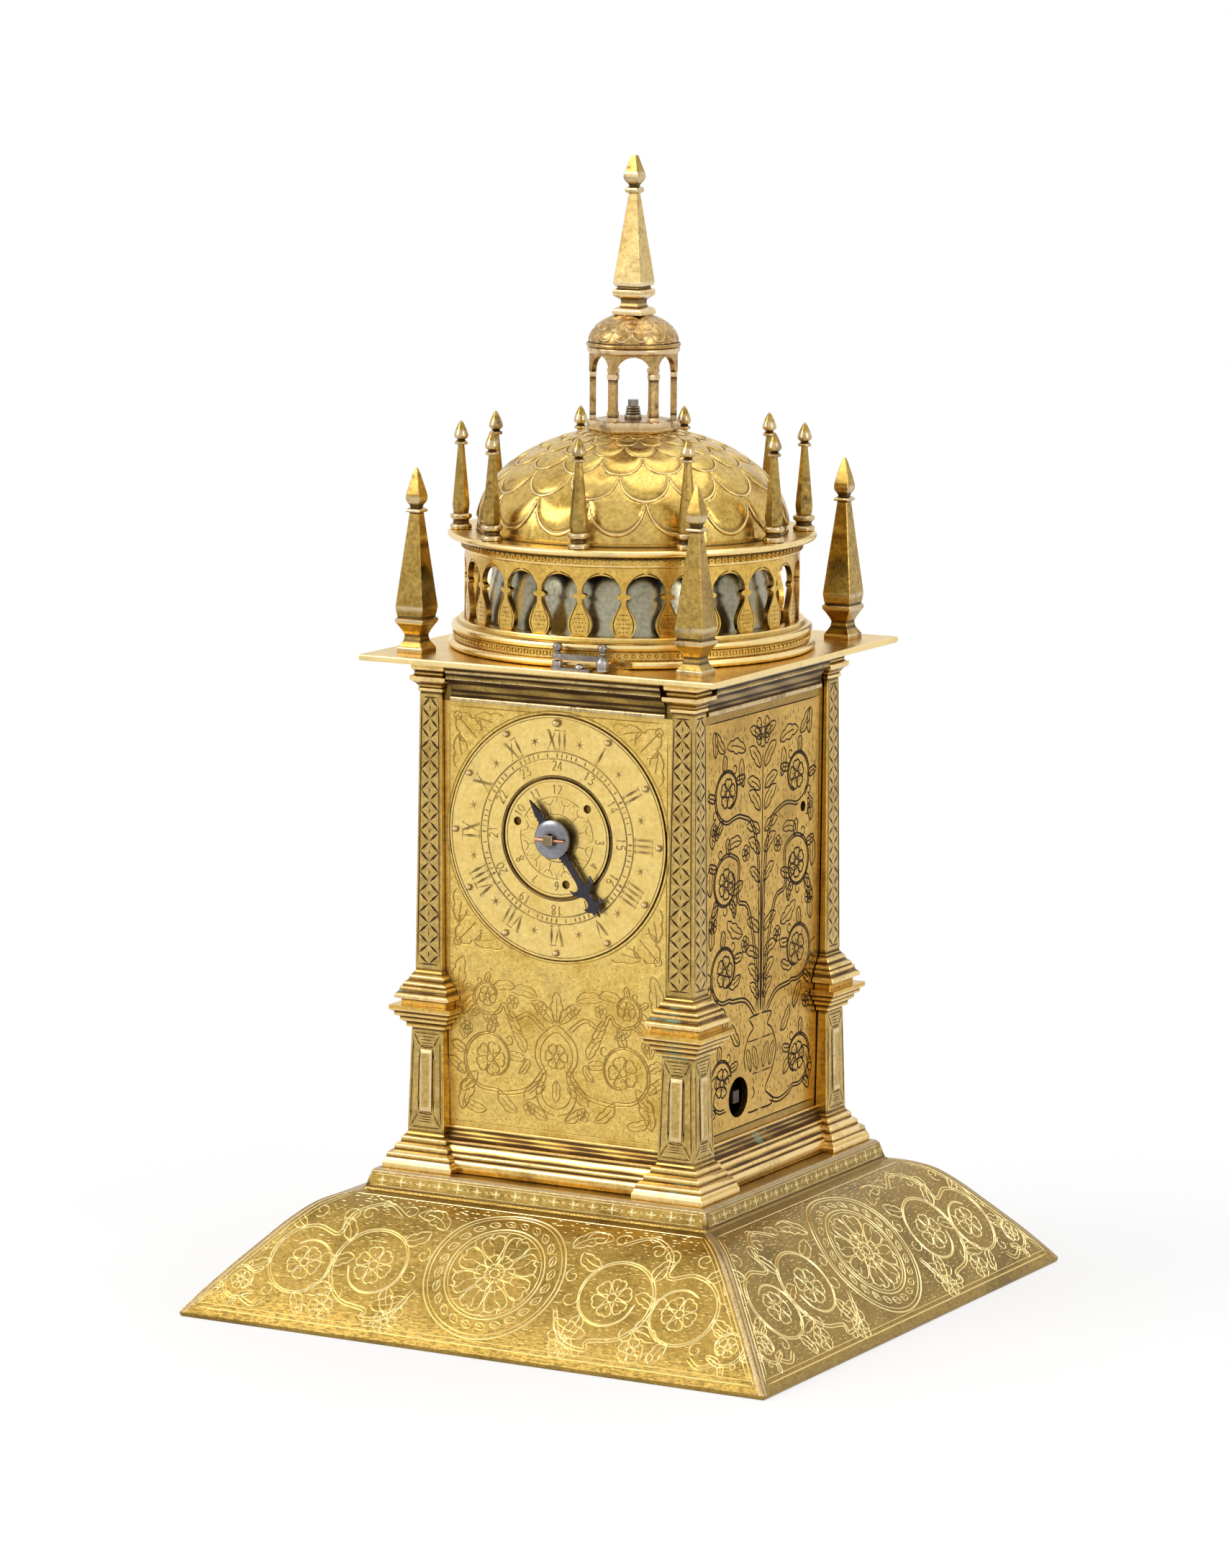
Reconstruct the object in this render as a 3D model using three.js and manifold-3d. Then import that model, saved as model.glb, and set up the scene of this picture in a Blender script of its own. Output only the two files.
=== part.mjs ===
// Tower table clock in gilt brass, about 320 mm high, with a striking bell under a domed drum.
// Millimetres, +Z up. The dial faces -Y, the winding hole is on +X, and the origin lies on the
// table under the middle of the foot.
import * as THREE from 'three';
import { mergeVertices } from 'three/addons/utils/BufferGeometryUtils.js';
import Module from 'manifold-3d';

const wasm = await Module();
wasm.setup();

// Fits that every piece shares
const gap = 0.3; // between pieces that are cut to each other
const play = 0.06; // round a turning arbor, from its corners to the flats of its hole
const overrun = 2; // how far a cut runs past what it cuts
const lap = 0.05; // how far two lumps of one piece run into each other
const weld = 0.02; // edges flatter than this are merged away

// Faceting
const ringSides = 32;
const midSides = 20;
const smallSides = 8;
const pivotSides = 6;
const ballSides = 8;
const ballRows = 5;
const spireSides = 6;

// Foot: a hollow square slope with a low riser on top
const foot = {
  half: 91.6, rim: 1.2, slopeTop: 33.4, slopeTopHalf: 54.8, wall: 1.7,
  riserTop: 39.1, riserTopHalf: 52.0, riserRound: 0.9,
  // how far in and how far up the slope has come, as shares of its run and rise
  slopeShares: [[0, 0], [0.125, 0.18], [0.26, 0.357], [0.41, 0.54], [0.546, 0.708],
    [0.641, 0.811], [0.717, 0.882], [0.79, 0.929], [0.891, 0.972], [1, 1]],
};

// Case: four panels standing on a plinth frame and capped by a cornice frame
const body = { half: 41.6, panel: 1.8, frameDeep: 4.0, plinthHigh: 12.3, panelHigh: 119.4, corniceHigh: 11.2 };
const frameInner = body.half - body.frameDeep;
const plinthTop = foot.riserTop + body.plinthHigh;
const corniceFoot = plinthTop + body.panelHigh;
const bodyTop = corniceFoot + body.corniceHigh;
const plinth = {
  fillet: 0.7, filletHigh: 0.8, cove: 2.4, coveHigh: 2.6, bead: 3.2, beadHigh: 1.3,
  ogee: 4.6, ogeeHigh: 2.6, torus: 6.0, torusHigh: 1.8, strip: 5.6,
};
const cornice = {
  bead: 0.9, beadHigh: 1.4, frieze: 0.4, friezeHigh: 1.6, cove: 2.9, coveHigh: 3.2,
  corona: 3.4, coronaHigh: 1.6, cyma: 5.0,
};

// Corner supports: a pedestal below and a tapering pilaster above, both wrapped round the corner
const supportInset = 2.0; // from a face of the case in to the middle of a support
const corner = body.half - supportInset;
const pedestal = {
  high: 46.1, footHigh: 10.1, capHigh: 6.7, footHalf: 11.1, shaftFootHalf: 5.8, shaftTopHalf: 5.0,
  capHalf: 9.8, footSteps: 4, capSteps: 3, tread: 1.0,
};
const pedestalTop = foot.riserTop + pedestal.high;
const pilaster = {
  neckHalf: 7.2, neckHigh: 1.8, footHalf: 8.7, footHigh: 7.8, footSteps: 3, headHigh: 9.2,
  shaftFootHalf: 4.25, shaftTopHalf: 3.4, ringHalf: 4.0, ringHigh: 1.0,
  capHalf: 5.7, capHigh: 5.8, capLip: 1.3, capNeck: 4.6, blockHalf: 5.4, blockHigh: 2.6, tread: 0.8,
};

// Gallery plate and the four obelisks on its corners
const gallery = { beyondDrum: 4.1, thick: 1.8, insideDrum: 4.2 };
const obelisk = {
  fromEdge: 11.6, high: 51.2, plate: 4.0, plateHigh: 1.5, waist: 2.45, cup: 4.4, body: 4.35,
  neck: 3.7, top: 1.5, ring: 2.35, bud: 2.3, tip: 0.35,
  // heights of the waist, cup, cup lip, neck, body, top, ring, bud foot and bud, as shares of high
  levelShares: [0.1, 0.165, 0.19, 0.2, 0.25, 0.745, 0.765, 0.785, 0.83],
};

// Dial: chapter ring with touch pins let into the front panel, and the alarm disc inside it
const dial = {
  high: 135.2, recess: 34.4, recessDeep: 0.8, ring: 33.9, ringInner: 17.0, ringThick: 1.1,
  pinAt: 32.0, pin: 0.55, pinHigh: 1.2, hours: 12,
};
const alarmDisc = { radius: 16.5, thick: 0.7, holeAt: 13, hole: 1.2, holes: 3, holeTurn: 47 };
const hand = {
  turn: 144, long: 25.1, tail: 12.7, hub: 4.6, thick: 0.8, stem: 0.9, knop: 1.5,
  cross: 3.2, crossAt: 18.6, barb: 1.7, tailWide: 1.6,
};
const collet = { radius: 5.4, edge: 0.8, dome: 1.4, top: 2.6, square: 2.6, proud: 1.8 };

// Bell drum, turned a little on the gallery as the maker left it
const drumTurn = 11; // degrees from the front towards +X
const drum = {
  // how far each moulding stands out from the arcade, and how far the inside lies within it
  torus: 4.6, torusHigh: 2.4, band: 2.8, bandHigh: 2.3, bead: 3.6, beadHigh: 1.6, step: 1.4,
  inside: 2.4, high: 8.3,
};
const arcade = {
  beyondDome: 3.2, thick: 1.6, high: 18.9, bays: 24, vase: 3.3, vaseAt: 3.2, vaseFoot: 2.2,
  neck: 0.65, collar: 1.8, collarAt: 10.6, collarHigh: 1.1, spring: 12.2, crown: 16.8,
};
const flange = {
  insideDome: 1.2, friezeOut: 0.8, friezeHigh: 2.6, beyondSpirelet: 3.7, high: 5.2, edge: 1.1, cove: 0.6,
};
const spirelet = {
  beyondDome: 4.2, faceTurn: 22.5, count: 10, high: 30.2, disc: 3.0, waist: 2.2, body: 2.55, top: 0.9,
  ring: 1.85, bud: 2.0, tip: 0.3,
  // heights of the disc, waist, upper disc, body, top, ring, bud foot and bud, as shares of high
  levelShares: [0.05, 0.08, 0.13, 0.23, 0.78, 0.8, 0.82, 0.85],
};
const dome = { radius: 43.4, rise: 27.9, wall: 1.4, foot: 1.0, rows: 6 };
const arcadeOuter = dome.radius + arcade.beyondDome;
const drumInner = arcadeOuter - drum.inside;
const drumTorus = arcadeOuter + drum.torus;
const spireletPlace = dome.radius + spirelet.beyondDome;
const galleryHalf = drumTorus + gallery.beyondDrum;
const obeliskPlace = galleryHalf - obelisk.fromEdge;

// Lantern, cupola and spire
const lantern = {
  radius: 12.3, wall: 1.7, seat: 13.0, opening: 9.0, archWide: 10.2, sides: 6, turn: -1, arcSteps: 6,
  // how far the foot is sunk round the crown of the dome, and the other heights above that crown
  sunk: 1.2, floor: 2.0, impost: 14.7, spring: 15.9, crown: 19.9, top: 22.1,
};
const cupola = { rim: 13.2, rimHigh: 1.1, radius: 12.6, rise: 8.2, flat: 4.2, wall: 1.2, rows: 4 };
const spire = {
  plate: 4.5, plateHigh: 1.7, waist: 2.7, cup: 4.35, neck: 3.3, body: 4.25, top: 1.2, ring: 2.0,
  bud: 2.35, tip: 0.8, high: 44,
  // heights of the waist foot, waist top, cup, lip, neck, body, top, ring, bud foot and bud
  levelShares: [0.05, 0.085, 0.12, 0.165, 0.175, 0.2, 0.765, 0.785, 0.805, 0.865],
};

// Bell hung from the crown of the dome
const bell = {
  mouthAbovePlate: 7.2, underDome: 7.5, wall: 1.8, boltHole: 1.9,
  // radius and height up the bell, as shares of its mouth and of its height
  insideDome: 2.2, outlineShares: [[1, 0], [0.965, 0.13], [0.93, 0.33], [0.86, 0.55],
    [0.72, 0.77], [0.46, 0.93], [0.22, 1]],
};
const bellRadius = dome.radius - bell.insideDome;
const bolt = { radius: 1.5, head: 3.6, headHigh: 2, aboveDome: 7.3, nut: 3.5, nutHigh: 2.4, knob: 2.2, knobHigh: 3.2 };

// Steel latch in front of the drum
const latch = {
  postX: 6.4, ahead: 2.0, footLong: 10.4, footWide: 2.6, footHigh: 0.7, pin: 0.7, knuckle: 1.5,
  ball: 1.35, ballHigh: 6.1, buttonX: 7, button: 1.3, buttonHigh: 1.9, barFoot: 2.9, barHigh: 1.5,
  barWide: 1.5, barLong: 13.9, pillar: 1.7, pillarHigh: 4.4, pillarBall: 6.6, tongueLong: 6.6,
  tongueWide: 1.3, notchWide: 5.6, notchHigh: 4.6, notchDeep: 1.4, notchLead: 1.1,
};
const latchY = -drumTorus - latch.ahead;

// Movement between two upright plates
const frame = {
  half: 30, thick: 1.6, front: -33.2, back: 19.4, top: 163, pillar: 2.2, pillarX: 27, pillarLow: 92,
  pillarHigh: 158.5, window: 20, windowFoot: 48, windowTop: 84,
};
const gearing = { module: 1.2, addendumShare: 0.8, dedendumShare: 1.45, rootShare: 0.5, tipShare: 0.07 };
const arbor = { radius: 1.3, pivot: 0.75, winding: 1.9, square: 2.6 };
const teeth = { hour: 24, hourPinion: 8, great: 24, pinion: 8, centre: 24, third: 24, crown: 11 };
const going = { wheelThick: 1.6, barrel: 11.6, barrelLong: 13, barrelFront: -29, windEnd: 35.5 };
const layer = { hour: -36.6, great: -12.5, centre: -6.5, third: -0.5, crown: 4.6 }; // back face of each wheel
const train = { centreX: 14, thirdX: 0, crownX: -12.5 };
const crownWheel = { radius: 8.6, rim: 1.0, disc: 1.2, cup: 2.4, tooth: 2.0, toothFoot: 1.7, toothTip: 0.35 };
const verge = {
  ahead: 2.15, pallet: 1.95, palletThick: 0.5, palletHigh: 2.2, palletTurn: 50, radius: 0.7,
  foot: 137, potence: 2, top: 173.2, armHalf: 1.6, armLeft: 4.5, armRight: 1.7, earFront: 5.7, earThick: 1.5,
};
const balance = { radius: 14, rim: 1.6, high: 2.2, level: 167, spoke: 2, hub: 2.6 };
const cock = { wide: 8, foot: 144, footHigh: 9, reach: 3.4, behind: 7.4, thick: 2, level: 171.2 };

// Alarm work under it, wound through the hole in the right panel
const alarm = {
  y: -12.8, z: 62, cheekX: 24.5, cheek: 1.5, cheekFront: -30.4, cheekBack: 15, cheekTop: 84,
  barrel: 12, barrelLeft: -14, barrelRight: 15, wheelX: -19, pinWheelX: 18.4, pinWheel: 9,
  pin: 0.6, pinLong: 1.6, pins: 6, pinAt: 7.6, secondY: 3.4, windEnd: 37, keyHole: 5.65,
};
const hammer = {
  x: 21, y: 15, radius: 1.1, foot: 82.3, lugLow: 96, lugHigh: 149, lug: 2.6, lugThick: 3,
  armAbovePlate: 1.4, armHigh: 1.8, armWide: 1.8, headInside: 3.0, head: 1.9, headHigh: 8.4, headTurn: -34.5,
  tailLong: 5.4,
};
const peephole = { y: 24.5, z: 138.4, radius: 1.5 };

// Colours of the metals
const metals = {
  gilt: { color: 0xc79a3c, roughness: 0.38, metalness: 1 },
  paleGilt: { color: 0xd3ae58, roughness: 0.42, metalness: 1 },
  coppery: { color: 0xb47c4a, roughness: 0.4, metalness: 1 },
  brass: { color: 0xb8974e, roughness: 0.35, metalness: 1 },
  steel: { color: 0x8c857c, roughness: 0.4, metalness: 1 },
  bluedSteel: { color: 0x2b2a33, roughness: 0.35, metalness: 1 },
  bellMetal: { color: 0xa9a79b, roughness: 0.45, metalness: 1 },
};

// Solids: each helper takes and gives a closed BufferGeometry
const degrees = Math.PI / 180;
const level = (low, high, share) => low + (high - low) * share;

function closed(geometry) {
  const bare = geometry.clone();
  bare.deleteAttribute('normal');
  bare.deleteAttribute('uv');
  const welded = mergeVertices(bare);
  const corners = welded.index.array;
  const kept = [];
  for (let i = 0; i < corners.length; i += 3) {
    const [a, b, c] = [corners[i], corners[i + 1], corners[i + 2]];
    if (a !== b && b !== c && c !== a) kept.push(a, b, c);
  }
  welded.setIndex(kept);
  return signedVolume(welded) < 0 ? flipped(welded) : welded;
}

function signedVolume(geometry) {
  const place = geometry.attributes.position;
  const index = geometry.index.array;
  const [a, b, c] = [new THREE.Vector3(), new THREE.Vector3(), new THREE.Vector3()];
  let volume = 0;
  for (let i = 0; i < index.length; i += 3) {
    a.fromBufferAttribute(place, index[i]);
    b.fromBufferAttribute(place, index[i + 1]);
    c.fromBufferAttribute(place, index[i + 2]);
    volume += a.dot(b.cross(c));
  }
  return volume;
}

function flipped(geometry) {
  const index = geometry.index.array;
  for (let i = 0; i < index.length; i += 3) {
    [index[i], index[i + 1]] = [index[i + 1], index[i]];
  }
  return geometry;
}

function solid(geometry) {
  const whole = closed(geometry);
  return new wasm.Manifold(new wasm.Mesh({
    numProp: 3,
    vertProperties: Float32Array.from(whole.attributes.position.array),
    triVerts: Uint32Array.from(whole.index.array),
  }));
}

function geometryOf(shape) {
  const mesh = shape.asOriginal().simplify(weld).getMesh();
  const geometry = new THREE.BufferGeometry();
  geometry.setAttribute('position', new THREE.BufferAttribute(mesh.vertProperties, 3));
  geometry.setIndex(new THREE.BufferAttribute(mesh.triVerts, 1));
  return geometry;
}

function joined(first, ...rest) {
  return geometryOf(rest.reduce((whole, piece) => whole.add(solid(piece)), solid(first)));
}

function cut(from, ...tools) {
  return geometryOf(tools.reduce((whole, tool) => whole.subtract(solid(tool)), solid(from)));
}

// A turned piece on the Z axis: the outline is [radius, height] from axis to axis, or a closed loop
function turned(outline, sides, firstTurn = 0) {
  const points = outline.map(([radius, high]) => new THREE.Vector2(radius, high));
  return new THREE.LatheGeometry(points, sides, firstTurn * degrees).rotateX(Math.PI / 2);
}

// The same with a square section: the outline's radius is half the width
function squared(outline) {
  const diagonal = outline.map(([half, high]) => [half * Math.SQRT2, high]);
  return turned(diagonal, 4, 45);
}

function rod(radius, from, to, sides = smallSides) {
  return turned([[0, from], [radius, from], [radius, to], [0, to]], sides);
}

// A hole that a rod of this radius turns in
function bore(radius, from, to, sides = smallSides) {
  return rod((radius + play) / Math.cos(Math.PI / sides), from, to, sides);
}

function box(low, high) {
  const size = high.map((value, axis) => value - low[axis]);
  const middle = high.map((value, axis) => (value + low[axis]) / 2);
  return new THREE.BoxGeometry(...size).translate(...middle);
}

function outlineShape(points) {
  return new THREE.Shape(points.map(([x, y]) => new THREE.Vector2(x, y)));
}

function sheet(shape, thick, curveSegments = smallSides) {
  return new THREE.ExtrudeGeometry(shape, { depth: thick, bevelEnabled: false, curveSegments });
}

// Turn a piece made on the Z axis so that its axis runs along Y (top towards -Y) or along X
const alongY = (geometry) => geometry.rotateX(Math.PI / 2);
const alongX = (geometry) => geometry.rotateY(Math.PI / 2);

// Roll a flat strip round the Z axis: x becomes the arc, y the height, z the depth inwards
function rolled(strip, radius) {
  const place = strip.attributes.position;
  for (let i = 0; i < place.count; i += 1) {
    const [x, y, z] = [place.getX(i), place.getY(i), place.getZ(i)];
    const turn = x / radius;
    const reach = radius - z;
    place.setXYZ(i, reach * Math.sin(turn), -reach * Math.cos(turn), y);
  }
  return strip;
}

const parts = new THREE.Group();

function add(name, geometry, metal, place = new THREE.Vector3(), turn = 0) {
  const finished = geometry.index ? geometry.toNonIndexed() : geometry;
  finished.computeVertexNormals();
  const mesh = new THREE.Mesh(finished, new THREE.MeshStandardMaterial(metals[metal]));
  mesh.name = name;
  mesh.position.copy(place);
  mesh.rotation.z = turn * degrees;
  parts.add(mesh);
}

// Foot
function footShell() {
  const run = foot.half - foot.slopeTopHalf;
  const rise = foot.slopeTop - foot.rim;
  const slope = foot.slopeShares.map(([inShare, upShare]) => [
    foot.half - run * inShare, foot.rim + rise * upShare]);
  const riser = [
    [level(foot.slopeTopHalf, foot.riserTopHalf, 0.35), level(foot.slopeTop, foot.riserTop, 0.15)],
    [foot.riserTopHalf + foot.riserRound, foot.riserTop - foot.riserRound],
    [foot.riserTopHalf, foot.riserTop]];
  const outside = [[foot.half, 0], ...slope, ...riser, [0, foot.riserTop]];
  const inside = [...slope, ...riser].map(([half, high]) => [half - foot.wall, high - foot.wall]);
  inside[0][1] = 0;
  return squared([...outside, [0, foot.riserTop - foot.wall], ...inside.reverse(), [foot.half, 0]]);
}

// Upright steps from one half width to another, with sloped treads between them
function steps(fromHalf, toHalf, from, to, count, tread) {
  const points = [];
  for (let i = 0; i < count; i += 1) {
    const half = level(fromHalf, toHalf, i / count);
    const [low, high] = [level(from, to, i / count), level(from, to, (i + 1) / count)];
    points.push([half, low], [half, high - tread]);
  }
  return points;
}

function pedestalOutline(grow = 0) {
  const p = pedestal;
  const low = foot.riserTop;
  const shaftFoot = low + p.footHigh;
  const shaftTop = pedestalTop - p.capHigh;
  const outline = [
    ...steps(p.footHalf, p.shaftFootHalf, low, shaftFoot, p.footSteps, p.tread),
    [p.shaftFootHalf, shaftFoot], [p.shaftTopHalf, shaftTop],
    ...steps(p.capHalf, p.shaftTopHalf, pedestalTop, shaftTop, p.capSteps, -p.tread).reverse()];
  return [[0, low - grow], ...outline.map(([half, high]) => [half + grow, high]), [0, pedestalTop + grow]];
}

function pilasterOutline() {
  const p = pilaster;
  const low = pedestalTop;
  const footFrom = low + p.neckHigh;
  const shaftFoot = footFrom + p.footHigh;
  const shaftTop = bodyTop - p.headHigh;
  const capFoot = bodyTop - p.capHigh;
  const outline = [
    [p.neckHalf, low], [p.neckHalf, footFrom],
    ...steps(p.footHalf, p.shaftFootHalf, footFrom, shaftFoot, p.footSteps, p.tread),
    [p.shaftFootHalf, shaftFoot], [p.shaftTopHalf, shaftTop],
    [p.ringHalf, shaftTop], [p.ringHalf, shaftTop + p.ringHigh],
    [p.shaftTopHalf, shaftTop + p.ringHigh], [p.capHalf, capFoot],
    [p.capHalf, capFoot + p.capLip], [p.capNeck, capFoot + p.capLip],
    [p.blockHalf, bodyTop - p.blockHigh], [p.blockHalf, bodyTop]];
  return [[0, low], ...outline, [0, bodyTop]];
}

// A support wraps the corner of the case, so that corner is taken out of it
function cornerSupport(outline, caseHalf) {
  const core = box([-caseHalf, -caseHalf, -overrun], [caseHalf, caseHalf, bodyTop + 2 * overrun]);
  core.translate(-corner, -corner, 0);
  return cut(squared(outline), core);
}

const corners = [
  { name: 'front_left', turn: 180 }, { name: 'front_right', turn: 270 },
  { name: 'rear_right', turn: 0 }, { name: 'rear_left', turn: 90 }];

function atCorner(turn, distance) {
  return new THREE.Vector3(distance, distance, 0).applyAxisAngle(new THREE.Vector3(0, 0, 1), turn * degrees);
}

// A frame round the case, stopped at each corner by the room that a support needs
function squareFrame(outline, cornerRoom) {
  const core = box([-body.half, -body.half, -overrun], [body.half, body.half, bodyTop + 2 * overrun]);
  const outer = cut(cornerRoom, core);
  return cut(squared(outline), ...corners.map(({ turn }) => outer.clone().rotateZ(turn * degrees)));
}

function plinthFrame() {
  const { half } = body;
  const moulding = [
    [half + plinth.strip, foot.riserTop],
    [half + plinth.torus, foot.riserTop + plinth.torusHigh / 2],
    [half + plinth.torus, foot.riserTop + plinth.torusHigh],
    [half + plinth.ogee, plinthTop - plinth.filletHigh - plinth.coveHigh - plinth.beadHigh - plinth.ogeeHigh],
    [half + plinth.bead, plinthTop - plinth.filletHigh - plinth.coveHigh - plinth.beadHigh],
    [half + plinth.bead, plinthTop - plinth.filletHigh - plinth.coveHigh],
    [half + plinth.cove, plinthTop - plinth.filletHigh - plinth.coveHigh],
    [half + plinth.fillet, plinthTop - plinth.filletHigh],
    [half + plinth.fillet, plinthTop]];
  const loop = [[frameInner, foot.riserTop], ...moulding, [frameInner, plinthTop], [frameInner, foot.riserTop]];
  return squareFrame(loop, squared(pedestalOutline(gap)).translate(corner, corner, 0));
}

function corniceFrame() {
  const { half } = body;
  const top = bodyTop;
  const beadTop = corniceFoot + cornice.beadHigh;
  const coveFoot = beadTop + cornice.friezeHigh;
  const coveTop = coveFoot + cornice.coveHigh;
  const coronaTop = coveTop + cornice.coronaHigh;
  const moulding = [
    [half + cornice.bead, corniceFoot], [half + cornice.bead, beadTop],
    [half + cornice.frieze, beadTop], [half + cornice.frieze, coveFoot],
    [level(half + cornice.frieze, half + cornice.cove, 0.4), level(coveFoot, coveTop, 0.7)],
    [half + cornice.cove, coveTop], [half + cornice.corona, coveTop],
    [half + cornice.corona, coronaTop], [half + cornice.cyma, top]];
  const loop = [[frameInner, corniceFoot], ...moulding, [frameInner, top], [frameInner, corniceFoot]];
  const stop = corner - pilaster.capHalf - gap;
  const beyond = half + cornice.cyma + overrun;
  return squareFrame(loop, box([stop, stop, corniceFoot - overrun], [beyond, beyond, top + overrun]));
}

function panelSheet(halfWidth, face, ...holes) {
  const flat = box([-halfWidth, face, plinthTop], [halfWidth, face + body.panel, corniceFoot]);
  return cut(flat, ...holes);
}

function panels() {
  const { half, panel } = body;
  const inner = half - panel;
  const recess = alongY(rod(dial.recess, 0, dial.recessDeep + overrun, ringSides))
    .translate(0, -half + dial.recessDeep, dial.high);
  const arborHole = alongY(bore(arbor.winding, -overrun, panel + overrun))
    .translate(0, -inner, dial.high);
  add('front_panel', panelSheet(half, -half, recess, arborHole), 'gilt');

  const rearKeyHole = alongY(rod(alarm.keyHole, -overrun, panel + overrun, midSides))
    .translate(0, half, greatHigh);
  const rear = cut(box([-half, inner, plinthTop], [half, half, corniceFoot]), rearKeyHole);
  add('rear_panel', rear, 'gilt');

  const keyHole = alongX(rod(alarm.keyHole, inner - overrun, half + overrun, midSides))
    .translate(0, alarm.y, alarm.z);
  const pinHole = alongX(rod(peephole.radius, inner - overrun, half + overrun))
    .translate(0, peephole.y, peephole.z);
  const side = box([inner, -inner, plinthTop], [half, inner, corniceFoot]);
  add('right_panel', cut(side, keyHole, pinHole), 'gilt');
  add('left_panel', box([-half, -inner, plinthTop], [-inner, inner, corniceFoot]), 'gilt');
}

function galleryPlate() {
  const high = bodyTop + gallery.thick;
  const flat = squared([[0, bodyTop], [galleryHalf, bodyTop], [galleryHalf, high], [0, high]]);
  return cut(flat, rod(drumInner - gallery.insideDrum, bodyTop - overrun, high + overrun, ringSides));
}

// Obelisks and the spire share this outline, from widths and levels named in their own tables
function obeliskOutline(piece, lowWide, bodyWide) {
  const at = piece.levelShares.map((share) => piece.high * share);
  const [waist, cup, lip, neck, shaft, top, ring, budFoot, bud] = at;
  return [
    [0, 0], [lowWide, 0], [lowWide, piece.plateHigh], [piece.waist, waist], [piece.cup, cup],
    [piece.cup, lip], [piece.neck, lip], [piece.neck, neck], [bodyWide, shaft], [piece.top, top],
    [piece.ring, level(top, ring, 0.3)], [piece.ring, ring], [level(piece.tip, piece.top, 0.7), budFoot],
    [piece.bud, bud], [piece.tip, piece.high], [0, piece.high]];
}

// Dial work
function chapterRing() {
  const { ring, ringInner, ringThick, pinAt, pin, pinHigh, hours } = dial;
  const flat = turned([[ringInner, 0], [ring, 0], [ring, ringThick], [ringInner, ringThick],
    [ringInner, 0]], ringSides);
  const pins = [];
  for (let hour = 0; hour < hours; hour += 1) {
    const turn = (hour / hours) * 2 * Math.PI;
    pins.push(turned([[0, ringThick - lap], [pin, ringThick - lap], [pin / 2, ringThick + pinHigh],
      [0, ringThick + pinHigh]], 4).translate(pinAt * Math.sin(turn), pinAt * Math.cos(turn), 0));
  }
  return alongY(joined(flat, ...pins)).translate(0, -body.half + dial.recessDeep, dial.high);
}

function alarmDiscSheet() {
  const { radius, thick, holeAt, hole, holes, holeTurn } = alarmDisc;
  const tools = [bore(arbor.winding, -overrun, thick + overrun)];
  for (let i = 0; i < holes; i += 1) {
    const turn = (holeTurn + (360 / holes) * i) * degrees;
    tools.push(rod(hole, -overrun, thick + overrun).translate(
      holeAt * Math.sin(turn), holeAt * Math.cos(turn), 0));
  }
  return alongY(cut(rod(radius, 0, thick, ringSides), ...tools)).translate(0, discBack, dial.high);
}

function hourHand() {
  const h = hand;
  const side = [
    [h.hub, 0], [h.stem, h.hub], [h.knop, h.hub + h.knop], [h.stem, h.hub + 2 * h.knop],
    [h.stem, h.crossAt - h.cross], [h.cross, h.crossAt - h.stem], [h.cross, h.crossAt],
    [h.stem, h.crossAt + h.stem], [h.stem, h.long - 2 * h.cross + h.stem], [h.barb, h.long - h.cross]];
  const tail = [[-h.stem, -h.hub], [-h.stem, -h.tail + 2 * h.tailWide], [-h.tailWide, -h.tail + h.tailWide]];
  const left = side.map(([x, y]) => [-x, y]).reverse();
  const points = [...side, [0, h.long], ...left, ...tail, [0, -h.tail],
    ...tail.map(([x, y]) => [-x, y]).reverse()];
  const shape = outlineShape(points);
  const hub = rod(h.hub, 0, h.thick, midSides);
  const blade = cut(joined(sheet(shape, h.thick), hub), bore(arbor.winding, -overrun, h.thick + overrun));
  return alongY(blade.rotateZ(-h.turn * degrees)).translate(0, handBack, dial.high);
}

function handCollet() {
  const c = collet;
  const disc = turned([[0, 0], [c.radius, 0], [c.radius, c.edge], [c.top, c.dome], [0, c.dome]], midSides);
  return alongY(cut(disc, bore(arbor.winding, -overrun, c.dome + overrun)))
    .translate(0, handBack - hand.thick, dial.high);
}

// A toothed wheel on the Z axis with its first tooth on +Y, turned by a share of its pitch
function gear(count, thick, pitchTurn = 0) {
  const { module, addendumShare, dedendumShare, rootShare, tipShare } = gearing;
  const pitchRadius = (module * count) / 2;
  const root = pitchRadius - module * dedendumShare;
  const tip = pitchRadius + module * addendumShare;
  const pitch = (2 * Math.PI) / count;
  const points = [];
  for (let tooth = 0; tooth < count; tooth += 1) {
    const middle = (tooth + pitchTurn) * pitch;
    for (const [radius, share] of [[tip, -tipShare], [tip, tipShare], [root, rootShare]]) {
      const turn = middle + share * pitch;
      points.push([-radius * Math.sin(turn), radius * Math.cos(turn)]);
    }
  }
  return sheet(outlineShape(points), thick);
}

const pitchRadius = (count) => (gearing.module * count) / 2;
const meshDistance = (wheel, pinion) => pitchRadius(wheel) + pitchRadius(pinion);

// Where the next arbor sits beside the last: across is given, the height follows from the mesh
function climbed(from, across, distance) {
  const side = across - from.x;
  return { x: across, z: from.z + Math.sqrt(distance * distance - side * side) };
}

// The share of a pitch that a driven gear is turned by to mesh with the gear that drives it
function meshTurn(from, to, driverTeeth, driverTurn, drivenTeeth) {
  const bearing = Math.atan2(-(to.x - from.x), to.z - from.z);
  const driverPhase = (bearing / (2 * Math.PI)) * driverTeeth - driverTurn;
  return ((bearing / (2 * Math.PI)) + 0.5) * drivenTeeth + driverPhase + 0.5;
}

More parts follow.
